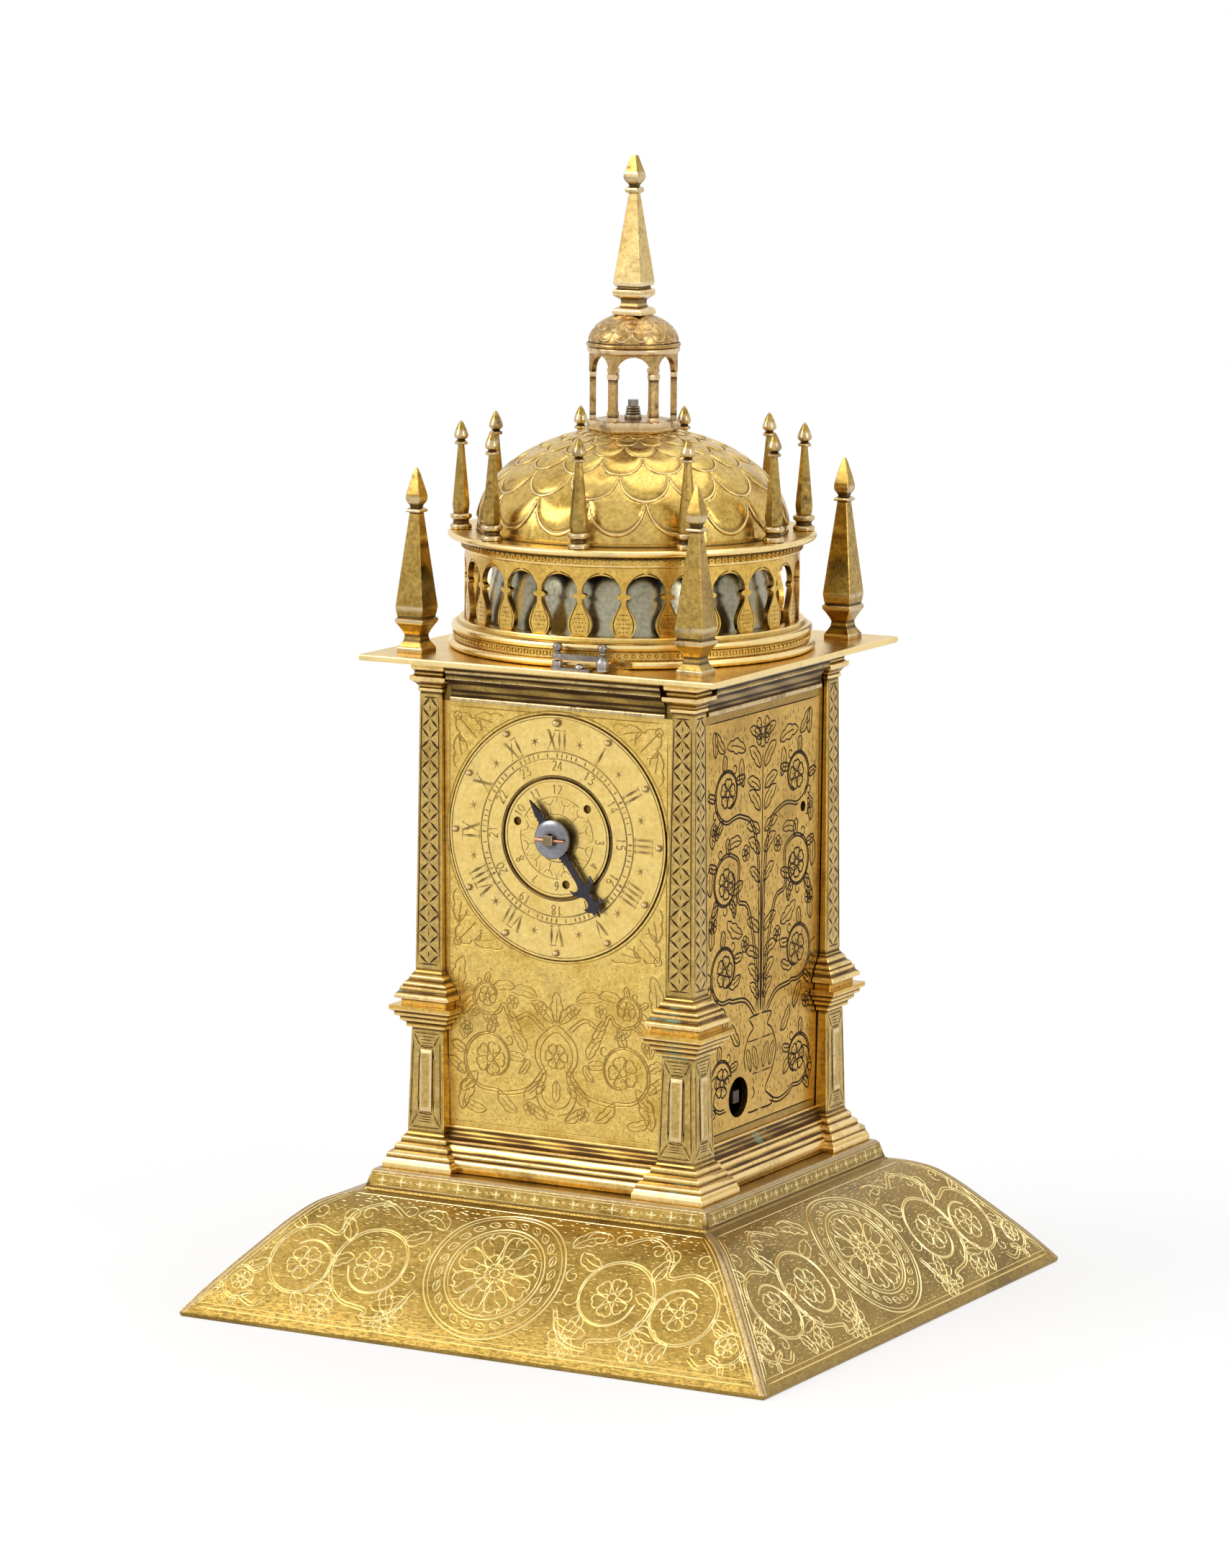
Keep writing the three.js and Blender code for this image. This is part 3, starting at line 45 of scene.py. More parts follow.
# What stands where: heights and half widths shared by several pieces
case = {"half": 41.6, "plinthTop": 51.4, "corniceFoot": 170.8, "corner": 39.6, "inner": 37.6, "sheet": 1.8}
dialAt = {"z": 135.2, "recess": 34.4, "recessDeep": 0.8}
drumTurn = 11.0  # the drum sits a little turned on its plate
levels = {"plateTop": 183.8, "arcadeFoot": 192.1, "flangeFoot": 211.0, "flangeTop": 216.2}


# Small mesh tools
def polish(mesh, angle=32):
    mesh.shade_smooth()
    mesh.set_sharp_from_angle(angle=math.radians(angle))


def addObject(name, data):
    thing = bpy.data.objects.new(name, data)
    bpy.context.scene.collection.objects.link(thing)
    return thing


def settle(piece, angle=32):
    # The mesh that the modifiers make becomes the piece's own
    bpy.context.view_layer.update()
    mesh = bpy.data.meshes.new_from_object(piece.evaluated_get(bpy.context.evaluated_depsgraph_get()))
    piece.modifiers.clear()
    piece.data = mesh
    polish(mesh, angle)


def joinParts(name, parts, material, smooth=32):
    # Each part holds its points, faces and patina, which on some pieces carries painted shade; an engraved one also the
    # ink of its faces and its flat places
    verts, faces, patinaAndShade, ink, sheet = [], [], [], [], []
    for part in parts:
        base = len(verts)
        sheet.extend(part[4] if len(part) > 4 else [tuple(5 * c for c in v) for v in part[0]])
        verts.extend(part[0])
        faces.extend([tuple(i + base for i in face) for face in part[1]])
        patinaAndShade.extend(part[2])
        ink.extend(part[3] if len(part) > 3 else [0.0] * len(part[1]))
    mesh = bpy.data.meshes.new(name)
    mesh.from_pydata([tuple(float(c) * mm for c in v) for v in verts], [], faces)
    work = bmesh.new()
    work.from_mesh(mesh)
    bmesh.ops.recalc_face_normals(work, faces=work.faces)
    work.to_mesh(mesh)
    work.free()
    for label, domain, values in (("patinaAndShade", "POINT", patinaAndShade), ("ink", "FACE", ink)):
        layer = mesh.attributes.new(label, "FLOAT", domain)
        layer.data.foreach_set("value", np.asarray(values, np.float32))
    flow = mesh.attributes.new("sheet", "FLOAT_VECTOR", "POINT")
    flow.data.foreach_set("vector", (np.asarray(sheet, np.float32) * mm).ravel())
    mesh.materials.append(material)
    polish(mesh, smooth)
    return addObject(name, mesh)


def dress(piece, body, slot, *stoodFor):
    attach(piece, body)
    if stoodFor:
        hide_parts(*stoodFor)
    return piece


# Mouldings: a profile of (half width, height) corners gets small rounded edges, and patina in its hollows
def soften(profile, edge=0.22):
    points = [np.array(p, float) for p in profile]
    soft = [(*points[0], 0.0)]
    for before, at, after in zip(points[:-2], points[1:-1], points[2:]):
        a, b = np.linalg.norm(at - before), np.linalg.norm(after - at)
        if min(a, b) < 1e-6:
            continue
        inDir, outDir = (at - before) / a, (after - at) / b
        bend = inDir[0] * outDir[1] - inDir[1] * outDir[0]
        hollow = bend < -0.15
        held = 1.0 if hollow else -0.9 if bend > 0.15 else 0.0
        cutBack = min(edge, a * 0.35, b * 0.35)
        shy, past = at - inDir * cutBack, at + outDir * cutBack
        if hollow and a > 0.9:
            soft.append((*(at - inDir * min(1.3, a * 0.48)), 0.12))
        soft += [(*point, held) for point in (shy, (shy + past) * 0.25 + at * 0.5, past)]
        if hollow and b > 0.9:
            soft.append((*(at + outDir * min(1.3, b * 0.48)), 0.12))
        elif b > 1.2:
            soft.append((*(at + outDir * min(0.8, b * 0.4)), 0.0))
    return soft + [(*points[-1], 0.0)]


def raised(profile, z):
    return [(r, z + height) for r, height in profile]


def onRound(r, theta, z):
    # Angles count from the front
    return (r * math.sin(theta), -r * math.cos(theta), z)


def lathe(profile, sides, turn=0.0, loop=False):
    # profile: (radius, height, patina and any painted shade); returns verts, faces, patina
    verts, faces, patinaAndShade, rings = [], [], [], []
    for r, z, *dirtAndShade in profile:
        turns = [0.0] if r < 1e-5 else [2 * math.pi * i / sides + math.radians(turn) for i in range(sides)]
        rings.append(range(len(verts), len(verts) + len(turns)))
        verts += [onRound(r, a, z) for a in turns]
        patinaAndShade += [dirtAndShade[0] if dirtAndShade else 0.0] * len(turns)
    pairs = list(zip(rings[:-1], rings[1:]))
    if loop:
        pairs.append((rings[-1], rings[0]))
    for low, high in pairs:
        for i in range(sides):
            j = (i + 1) % sides
            corners = (low[i % len(low)], low[j % len(low)], high[j % len(high)], high[i % len(high)])
            face = tuple(dict.fromkeys(corners))
            if len(face) > 2:
                faces.append(face)
    return verts, faces, patinaAndShade


def strips(rows, count, closed=True, loop=False, first=0):
    # Quads between rows of points; closed joins the ends of each row, loop the last row to the first
    faces = []
    for row in range(rows if loop else rows - 1):
        low, high = first + row * count, first + (row + 1) % rows * count
        for i in range(count if closed else count - 1):
            j = (i + 1) % count
            faces.append((low + i, low + j, high + j, high + i))
    return faces


def squareSection(half, chamfer=0.28):
    c = min(chamfer, half * 0.18)
    h = half
    return [(h, c - h), (h, h - c), (h - c, h), (c - h, h), (-h, h - c), (-h, c - h), (c - h, -h), (h - c, -h)]


def cornerSection(half, chamfer=0.28, inner=2.3):
    # An L round the case corner, drawn for the corner at +x +y
    c = min(chamfer, half * 0.18)
    h = half
    return [(h, c - h), (h, h - c), (h - c, h), (c - h, h), (-h, h - c), (-h, inner), (inner, inner), (inner, -h),
        (h - c, -h)]


def loft(profile, section, loop=False):
    # Sections of one count of points stacked up; ends are closed
    rows, count = len(profile), len(section(profile[0][0]))
    verts, patinaAndShade = [], []
    for half, z, *dirtAndShade in profile:
        verts += [(x, y, z) for x, y in section(half)]
        patinaAndShade += [dirtAndShade[0] if dirtAndShade else 0.0] * count
    faces = strips(rows, count, loop=loop)
    if not loop:
        faces += [tuple(reversed(range(count))), tuple(range((rows - 1) * count, rows * count))]
    return verts, faces, patinaAndShade


def block(low, high):
    (x0, y0, z0), (x1, y1, z1) = low, high
    verts = [(x0, y0, z0), (x1, y0, z0), (x1, y1, z0), (x0, y1, z0), (x0, y0, z1), (x1, y0, z1), (x1, y1, z1),
        (x0, y1, z1)]
    faces = [(0, 3, 2, 1), (4, 5, 6, 7), (0, 1, 5, 4), (1, 2, 6, 5), (2, 3, 7, 6), (3, 0, 4, 7)]
    return verts, faces, [0.0] * 8


def turned(x, y, turn):
    c, s = math.cos(math.radians(turn)), math.sin(math.radians(turn))
    return x * c - y * s, x * s + y * c


def placed(part, x=0.0, y=0.0, z=0.0, turn=0.0):
    verts = []
    for v in part[0]:
        across, ahead = turned(v[0], v[1], turn)
        verts.append((across + x, ahead + y, v[2] + z))
    return (verts, *part[1:])


def turnedSide(turn, spot):
    # spot(u, v, sunk) lays a flat sheet onto one side; this lays it onto the side turned from there
    def place(u, v, sunk):
        x, y, z = spot(u, v, sunk)
        return (*turned(x, y, turn), z)
    return place


def laidAlongY(part, x, y, z):
    # A piece turned on Z lies down so that its top points to the front
    return [(v[0] + x, -v[2] + y, v[1] + z) for v in part[0]], part[1], part[2]


def laidAlongX(part, x, y, z):
    return [(v[2] + x, v[1] + y, -v[0] + z) for v in part[0]], part[1], part[2]


# Engraver's strokes: (points, half width, closed), drawn on a flat sheet
def through(points, each=7):
    # A smooth line through all the points
    p = [np.array(q, float) for q in points]
    p = [2 * p[0] - p[1]] + p + [2 * p[-1] - p[-2]]
    line = []
    for a, b, c, d in zip(p[:-3], p[1:-2], p[2:-1], p[3:]):
        square, cube = 2 * a - 5 * b + 4 * c - d, 3 * b - a - 3 * c + d
        for t in np.linspace(0, 1, each, endpoint=False):
            line.append(0.5 * (2 * b + (c - a) * t + square * t * t + cube * t ** 3))
    return np.array(line + [p[-2]])


def stroke(points, wide=0.2, closed=False):
    return (np.array(points, float), wide, closed)


def ringStroke(cx, cy, r, wide=0.2, count=48, squash=1.0):
    a = np.linspace(0, 2 * math.pi, count, endpoint=False)
    return stroke(np.c_[cx + r * np.cos(a), cy + r * squash * np.sin(a)], wide, True)


def volute(cx, cy, outer, inner, start, sweep, count=26):
    a = np.radians(np.linspace(start, start + sweep, count))
    r = np.linspace(outer, inner, count)
    return np.c_[cx + r * np.cos(a), cy + r * np.sin(a)]


def leaf(x, y, heading, long, wide, curl=0.0, lobes=3, thick=0.2):
    # Outline with soft lobes, a middle vein and a few side veins
    t = np.linspace(0, 1, 6 * lobes + 1)
    angle = np.radians(heading + curl * t)
    step = long / (len(t) - 1)
    spine = np.c_[x + np.r_[0, np.cumsum(np.cos(angle[:-1]) * step)],
        y + np.r_[0, np.cumsum(np.sin(angle[:-1]) * step)]]
    normal = np.c_[-np.sin(angle), np.cos(angle)]
    belly = np.sin(math.pi * np.minimum(t * 1.02, 1)) ** 0.75
    swell = wide * belly * (0.72 + 0.28 * np.abs(np.sin(lobes * math.pi * t)))
    left = spine + normal * swell[:, None]
    right = spine - normal * swell[:, None]
    left[-1] = right[-1] = spine[-1]
    return [stroke(left, thick), stroke(right, thick), stroke(spine[: int(len(t) * 0.8)], thick * 0.8)]


def leaves(rows, thick):
    return [line for row in rows for line in leaf(*row, thick)]


# Half a petal's outline and back: how far across its spread, and how far out
petalLine = ((-0.35, 0.3), (-1, 0.62), (-0.85, 0.92), (-0.3, 1.0), (0, 0.93), (0.3, 1.0), (0.85, 0.92), (1, 0.62),
    (0.35, 0.3))


def blossom(x, y, r, petals=5, turn=0.0, thick=0.2):
    strokes = [ringStroke(x, y, r * 0.24, thick, 14)]
    spread = math.pi / petals * 0.92
    at = lambda reach, a: (x + r * reach * math.cos(a), y + r * reach * math.sin(a))
    for i in range(petals):
        a = math.radians(turn) + 2 * math.pi * i / petals
        outline = [at(reach, a + spread * share) for share, reach in petalLine]
        strokes.append(stroke(through(outline, 3), thick))
        strokes.append(stroke([at(0.34, a), at(0.7, a)], thick * 0.7))
    return strokes


def stem(points, wide=0.2, apart=0.55):
    # Two lines side by side that run together at the end
    line = through(points, 4)
    run = np.gradient(line, axis=0)
    run /= np.maximum(np.linalg.norm(run, axis=1), 1e-9)[:, None]
    normal = np.c_[-run[:, 1], run[:, 0]]
    taper = apart * np.linspace(1, 0.25, len(line))[:, None]
    return [stroke(line + normal * taper, wide), stroke(line - normal * taper, wide)]


def scroll(points, cx, cy, outer, start, sweep, petals=5, wide=0.2, flower=0.5):
    # A stem that runs into a volute round a flower, with leaves on its back
    curl = volute(cx, cy, outer, outer * 0.52, start, sweep)
    strokes = stem(list(points) + [tuple(p) for p in curl[::2]], wide)
    strokes += blossom(cx, cy, outer * flower, petals, start, wide)
    side = 1 if sweep > 0 else -1
    for share in (0.12, 0.3, 0.5, 0.7):
        at = curl[int(share * (len(curl) - 1))]
        out = math.degrees(math.atan2(at[1] - cy, at[0] - cx))
        strokes += leaf(at[0], at[1], out + side * 52, outer * 0.62, outer * 0.17, -side * 58, 2, wide)
    for share in (0.21, 0.6):
        at = curl[int(share * (len(curl) - 1))]
        out = math.atan2(at[1] - cy, at[0] - cx) + side * 0.5
        x, y = at[0] + math.cos(out) * outer * 0.2, at[1] + math.sin(out) * outer * 0.2
        hook = volute(x, y, outer * 0.2, outer * 0.07, math.degrees(out) + 180, -side * 330, 12)
        strokes.append(stroke(hook, wide * 0.8))
    return strokes


def mirrored(strokes):
    return strokes + [(np.c_[-p[:, 0], p[:, 1]], w, c) for p, w, c in strokes]


def lifted(strokes, up):
    return [(points + (0.0, up), wide, closed) for points, wide, closed in strokes]


def flipped(points):
    # The same line on the other side, run backwards
    return [(-x, y) for x, y in reversed(points)]


def border(corners, each, wide):
    return [stroke(np.linspace(corners[i], corners[(i + 1) % 4], each), wide) for i in range(4)]


def clipped(strokes, holes):
    # Strokes stop short of the holes
    return trimmed(strokes, lambda x, y: all(math.hypot(x - cx, y - cy) > r for cx, cy, r in holes))


def trimmed(strokes, inside):
    # Only the runs of the strokes that lie inside
    kept = []
    for points, wide, closed in strokes:
        clear = [inside(x, y) for x, y in points]
        if all(clear):
            kept.append((points, wide, closed))
            continue
        run = []
        for point, free in zip(list(points) + [None], clear + [False]):
            if free:
                run.append(point)
                continue
            if len(run) > 2:
                kept.append((np.array(run), wide, False))
            run = []
    return kept


def dashes(strokes, inside, box, count, seed, long=1.0, wide=0.16, clear=1.1, heading=None):
    # Short burin marks scattered over the ground between the strokes
    rng = random.Random(seed)
    marks = np.concatenate([p for p, _, _ in strokes]) if strokes else np.zeros((1, 2)) - 1e3
    made = []
    for _ in range(count * 6):
        if len(made) >= count:
            break
        x, y = rng.uniform(box[0], box[2]), rng.uniform(box[1], box[3])
        if not inside(x, y) or np.min(np.hypot(marks[:, 0] - x, marks[:, 1] - y)) < clear:
            continue
        a = math.radians(heading if heading is not None else rng.uniform(60, 120))
        half = long * rng.uniform(0.35, 0.6)
        dx, dy = math.cos(a) * half, math.sin(a) * half
        made.append(stroke([(x - dx, y - dy), (x, y), (x + dx, y + dy)], wide))
        marks = np.vstack([marks, [[x, y]]])
    return made


def engrave(outline, holes, strokes, folds=(), deep=0.12):
    # Cuts the strokes as V grooves into a flat sheet; returns flat verts, faces and depth
    points, edges = [], []

    def chain(line, closed):
        first = len(points)
        points.extend([Vector((float(p[0]), float(p[1]))) for p in line])
        edges.extend([(first + i, first + i + 1) for i in range(len(line) - 1)])
        if closed:
            edges.append((first + len(line) - 1, first))
        return first

    chain(outline, True)
    for cx, cy, r in holes:
        a = np.linspace(0, 2 * math.pi, 64, endpoint=False)
        chain(np.c_[cx + r * np.cos(a), cy + r * np.sin(a)], True)
    for fold in folds:
        chain(fold, False)
    for line, wide, closed in strokes:
        run = np.roll(line, -1, 0) - np.roll(line, 1, 0) if closed else np.gradient(line, axis=0)
        run = run / np.maximum(np.linalg.norm(run, axis=1), 1e-9)[:, None]
        normal = np.c_[-run[:, 1], run[:, 0]] * wide
        if closed:
            for shift in (-1, 0, 1):
                chain(line + normal * shift, True)
            continue
        ends = chain([line[0], line[-1]], False)
        edges.pop()
        for shift in (-1, 0, 1):
            inner = (line + normal * shift)[1:-1]
            if len(line) == 2:
                inner = [(line[0] + line[-1]) / 2 + normal[0] * shift]
            first = chain(inner, False)
            edges.append((ends, first))
            edges.append((len(points) - 1, ends + 1))
    made = delaunay_2d_cdt(points, edges, [], 1, 0.004, False)
    flat = np.array([tuple(v) for v in made[0]])
    corners = np.array(made[2])
    middles = flat[corners].mean(1)
    solid = np.ones(len(corners), bool)
    for cx, cy, r in holes:
        solid &= np.hypot(middles[:, 0] - cx, middles[:, 1] - cy) >= r
    faces, middles = corners[solid].tolist(), middles[solid]

    def nearTo(places, ring, wide):
        # Which places lie by the line, and how far off it
        low, high = ring.min(0) - wide, ring.max(0) + wide
        near = np.where(np.all((places > low) & (places < high), axis=1))[0]
        a, span = ring[:-1], ring[1:] - ring[:-1]
        rel = places[near][:, None, :] - a[None]
        t = np.clip((rel * span[None]).sum(2) / np.maximum((span ** 2).sum(1), 1e-12)[None], 0, 1)
        off = np.linalg.norm(rel - t[..., None] * span[None], axis=2)
        return near, off.min(1) if len(near) else np.zeros(0)

    depth, shade = np.zeros(len(flat)), np.zeros(len(faces))
    for line, wide, closed in strokes:
        ring = np.vstack([line, line[:1]]) if closed else line
        near, off = nearTo(flat, ring, wide)
        cutHere = deep * np.clip(1 - off / wide, 0, 1) * min(1.0, wide / 0.2)
        if not closed and len(near):
            ends = [np.linalg.norm(flat[near] - end, axis=1) for end in (line[0], line[-1])]
            cutHere = cutHere * np.clip(np.minimum(*ends) / wide, 0, 1)
        depth[near] = np.maximum(depth[near], cutHere)
        near, off = nearTo(middles, ring, wide)
        shade[near] = np.maximum(shade[near], np.clip((wide - off) / (wide * 0.4), 0, 1))
    return {"flat": flat, "faces": faces, "middles": middles, "depth": depth, "shade": shade}


def sheetPart(sheet, place, skirt=0.45, edgeDirtAndShade=0.3):
    # Bends the flat sheet onto its surface: place(u, v, sunk) gives the point
    flat, faces = sheet["flat"], sheet["faces"]
    verts = [place(u, v, d) for (u, v), d in zip(flat, sheet["depth"])]
    patinaAndShade = [0.0] * len(verts)
    flow = [(u, v, 0.0) for u, v in flat]
    inked = list(sheet["shade"])
    count = {}
    for face in faces:
        for a, b in zip(face, face[1:] + face[:1]):
            key = (min(a, b), max(a, b))
            count[key] = (count.get(key, (0, 0))[0] + 1, (a, b))
    made = [tuple(f) for f in faces]
    sunk = {}
    # skirt points along the open edges take the edge dirt, which on the dial rings is painted shadow
    for number, (a, b) in count.values():
        if number != 1:
            continue
        for i in (a, b):
            if i not in sunk:
                sunk[i] = len(verts)
                verts.append(place(flat[i][0], flat[i][1], skirt))
                flow.append((flat[i][0], flat[i][1], 0.0))
                patinaAndShade.append(edgeDirtAndShade)
        made.append((b, a, sunk[a], sunk[b]))
        inked.append(0.0)
    return verts, made, patinaAndShade, inked, flow


# Node tools: an input takes a plain value or another node's output
def put(tree, kind, inputs=(), **settings):
    node = tree.nodes.new(kind)
    for name, value in settings.items():
        setattr(node, name, value)
    for name, value in dict(inputs).items():
        if isinstance(value, bpy.types.NodeSocket):
            tree.links.new(value, node.inputs[name])
        else:
            node.inputs[name].default_value = value
    return node


def maths(tree, kind, *values):
    return put(tree, "ShaderNodeMath", enumerate(values), operation=kind).outputs[0]


def weighted(tree, *pairs):
    # Sum of several outputs, each times its weight
    total = 0.0
    for value, weight in pairs:
        total = maths(tree, "MULTIPLY_ADD", value, weight, total)
    return total


def ramp(tree, value, low, high, toLow=0.0, toHigh=1.0, **settings):
    ends = {"Value": value, "From Min": low, "From Max": high, "To Min": toLow, "To Max": toHigh}
    return put(tree, "ShaderNodeMapRange", ends, **settings).outputs["Result"]


def mixed(tree, share, a, b):
    a, b = [value if isinstance(value, bpy.types.NodeSocket) else (*value, 1) for value in (a, b)]
    return put(tree, "ShaderNodeMix", {0: share, 6: a, 7: b}, data_type="RGBA").outputs[2]


def noise(tree, size, detail, rough=0.5, where=None):
    if where is None:
        where = put(tree, "ShaderNodeTexCoord").outputs["Object"]
    values = {"Vector": where, "Scale": size, "Detail": detail, "Roughness": rough}
    return put(tree, "ShaderNodeTexNoise", values).outputs["Fac"]


def attribute(tree, label, out="Fac"):
    return put(tree, "ShaderNodeAttribute", attribute_name=label).outputs[out]


def addSockets(tree, way, sockets):
    for name, kind in sockets.items():
        tree.interface.new_socket(name=name, in_out=way, socket_type="NodeSocket" + kind)


# Materials
def wearGroup():
    # Masks of handling: stain where dirt lies and where the patina carries painted shade, tone and roughness of the
    # metal, height for the bump
    tree = bpy.data.node_groups.new("metalWear", "ShaderNodeTree")
    addSockets(tree, "INPUT", dict.fromkeys(("PatinaAndShade", "Ink", "Stain Size", "Stain Amount"), "Float"))
    addSockets(tree, "OUTPUT", dict.fromkeys(("Stain", "Tone", "Rough", "Height"), "Float"))
    given = put(tree, "NodeGroupInput").outputs
    broad = noise(tree, given["Stain Size"], 5, 0.55)
    fine = noise(tree, 620.0, 4, 0.7)
    grain = noise(tree, 900.0, 3, 0.6)
    cloud = ramp(tree, weighted(tree, (broad, 0.65), (fine, 0.35)), 0.5, 0.68)
    spots = ramp(tree, fine, 0.66, 0.74)
    dirty = maths(tree, "MULTIPLY", weighted(tree, (cloud, 1.0), (spots, 0.6)), given["Stain Amount"])
    held = maths(tree, "MULTIPLY", given["PatinaAndShade"], ramp(tree, broad, 0.3, 0.6, 0.65, 1.0))
    inked = maths(tree, "MULTIPLY", given["Ink"], ramp(tree, broad, 0.35, 0.55, 0.72, 1.0))
    stain = maths(tree, "MAXIMUM", maths(tree, "MAXIMUM", dirty, held), inked)
    put(tree, "NodeGroupOutput", {
        "Stain": maths(tree, "MINIMUM", stain, 1.0),
        "Tone": ramp(tree, weighted(tree, (broad, 0.62), (grain, 0.38)), 0.36, 0.6),
        "Rough": weighted(tree, (grain, 0.16), (stain, 0.22)),
        "Height": weighted(tree, (grain, 0.12), (fine, 0.12), (broad, 1.6))})
    return tree


metalWear = wearGroup()


def metal(name, light, deep, dirtAndShade, rough=0.24, stain=0.4, stainSize=90.0, bump=0.3, verdigris=0.0, marks=None,
          inkDark=0.95, lineGiltAndHighlight=None):
    material = bpy.data.materials.new(name)
    material.use_nodes = True
    tree = material.node_tree
    held, drawn = attribute(tree, "patinaAndShade"), attribute(tree, "ink")
    # the patina attribute holds dirt in hollows and, on the dial and the dome scales, painted shade
    hollow = maths(tree, "MAXIMUM", held, 0.0)
    rubbed = maths(tree, "MAXIMUM", maths(tree, "MULTIPLY", held, -0.75), 0.0)
    ink = maths(tree, "MULTIPLY", drawn, inkDark)
    wear = put(tree, "ShaderNodeGroup", {"Stain Amount": stain, "Stain Size": stainSize, "PatinaAndShade": hollow, "Ink": ink},
               node_tree=metalWear).outputs
    bright = tuple(min(0.98, 0.25 + 0.85 * c) for c in light)
    colour = mixed(tree, rubbed, mixed(tree, wear["Tone"], deep, light), bright)
    height, stainedAndShaded = wear["Height"], wear["Stain"]
    if marks:
        flow = put(tree, "ShaderNodeMapping", {
            "Vector": attribute(tree, "sheet", "Vector"), "Scale": (marks["along"], marks["across"], 1.0)})
        strikes = noise(tree, 1.0, 2.5, 0.7, flow.outputs["Vector"])
        cuts = maths(tree, "MULTIPLY", ramp(tree, strikes, 0.53, 0.62), maths(tree, "SUBTRACT", 1.0, drawn))
        stainedAndShaded = maths(tree, "MAXIMUM", stainedAndShaded, maths(tree, "MULTIPLY", cuts, marks["dark"]))
        height = maths(tree, "SUBTRACT", height, maths(tree, "MULTIPLY", cuts, marks["deep"]))
    # the dirt colour paints the stains, and the shade that the patina carries
    colour = mixed(tree, stainedAndShaded, colour, dirtAndShade)
    # engraved lines drawn pale: paler gilding and a painted highlight in the grooves
    if lineGiltAndHighlight:
        colour = mixed(tree, drawn, colour, lineGiltAndHighlight)
    if verdigris:
        patches = ramp(tree, noise(tree, 55.0, 6.0), 0.63, 0.69, 0.0, verdigris)
        colour = mixed(tree, maths(tree, "MULTIPLY", patches, hollow), colour, (0.17, 0.27, 0.19))
    relief = put(tree, "ShaderNodeBump", {"Strength": bump, "Distance": 0.0002, "Height": height})
    shader = tree.nodes["Principled BSDF"]
    shader.inputs["Metallic"].default_value = 1.0
    tree.links.new(colour, shader.inputs["Base Color"])
    tree.links.new(maths(tree, "ADD", wear["Rough"], rough), shader.inputs["Roughness"])
    tree.links.new(relief.outputs["Normal"], shader.inputs["Normal"])
    return material


stipple = {"along": 1500.0, "across": 1500.0, "dark": 0.42, "deep": 1.2}
dashMarks = {"along": 420.0, "across": 2000.0, "dark": 0.5, "deep": 1.2}
gilt = metal("giltBrass", (0.886, 0.576, 0.138), (0.474, 0.274, 0.0473), (0.0876, 0.0425, 0.0155), rough=0.17,
    stain=0.6, bump=0.2, verdigris=0.7)
giltPanel = metal("giltPanel", (0.92, 0.66, 0.192), (0.555, 0.348, 0.07), (0.134, 0.0709, 0.0215), rough=0.22,
    stain=0.5, marks=stipple, inkDark=0.66)
giltBright = metal("giltBright", (0.906, 0.624, 0.172), (0.597, 0.369, 0.0731), (0.0927, 0.0473, 0.0172), rough=0.2,
    stain=0.3, bump=0.1)
giltDome = metal("giltDome", (0.80, 0.56, 0.158), (0.40, 0.245, 0.048), (0.0927, 0.0473, 0.0172), rough=0.18,
    stain=0.5, bump=0.12)
giltWorn = metal("giltWorn", (0.56, 0.37, 0.096), (0.25, 0.148, 0.03), (0.0558, 0.031, 0.0137), rough=0.15, stain=1.0,
    stainSize=70.0, bump=0.16)
# side panels: a darker olive gilt, partly their own tone, partly painted shade of the sides turned from the light
giltOliveShaded = metal("giltOliveShaded", (0.76, 0.475, 0.104), (0.41, 0.238, 0.038), (0.0361, 0.017, 0.0086), rough=0.2,
    stain=0.55, stainSize=45.0, inkDark=1.3)
giltLattice = metal("giltLattice", (0.71, 0.495, 0.165), (0.36, 0.235, 0.06), (0.0412, 0.0189, 0.0103), rough=0.18,
    stain=0.65, stainSize=130.0, bump=0.2, inkDark=1.6)
# the foot's engraved lines are drawn pale with a painted highlight, on a darker ground
giltFoot = metal("giltFoot", (0.44, 0.288, 0.069), (0.205, 0.128, 0.026), (0.112, 0.0602, 0.0195), rough=0.24,
    stain=0.5, stainSize=60.0, verdigris=0.2, marks=dashMarks, inkDark=0.0, lineGiltAndHighlight=(0.90, 0.74, 0.36))
dialGilt = metal("dialGilt", (0.954, 0.71, 0.247), (0.742, 0.52, 0.147), (0.11, 0.063, 0.027), rough=0.22, stain=0.35,
    stainSize=110.0, inkDark=0.88)
coppery = metal("copperyGilt", (0.70, 0.47, 0.18), (0.28, 0.14, 0.038), (0.075, 0.04, 0.02), rough=0.2, stain=0.95,
    stainSize=150.0)
giltSpire = metal("giltSpire", (0.80, 0.60, 0.25), (0.47, 0.30, 0.095), (0.13, 0.07, 0.03), rough=0.22, stain=0.7,
    stainSize=110.0, bump=0.25)
bronze = metal("darkBronze", (0.30, 0.23, 0.13), (0.18, 0.13, 0.07), (0.05, 0.038, 0.025), rough=0.3, stain=0.5)
wheelBrass = metal("wheelBrass", (0.62, 0.44, 0.16), (0.48, 0.32, 0.10), (0.14, 0.09, 0.04), rough=0.28, stain=0.35)
steel = metal("filedSteel", (0.36, 0.315, 0.275), (0.185, 0.152, 0.128), (0.09, 0.055, 0.04), rough=0.22, stain=0.6)
paleSteel = metal("paleSteel", (0.34, 0.34, 0.36), (0.20, 0.20, 0.215), (0.07, 0.05, 0.04), rough=0.2, stain=0.4)
blued = metal("bluedSteel", (0.060, 0.058, 0.070), (0.045, 0.038, 0.042), (0.085, 0.04, 0.025), rough=0.24, stain=0.5)
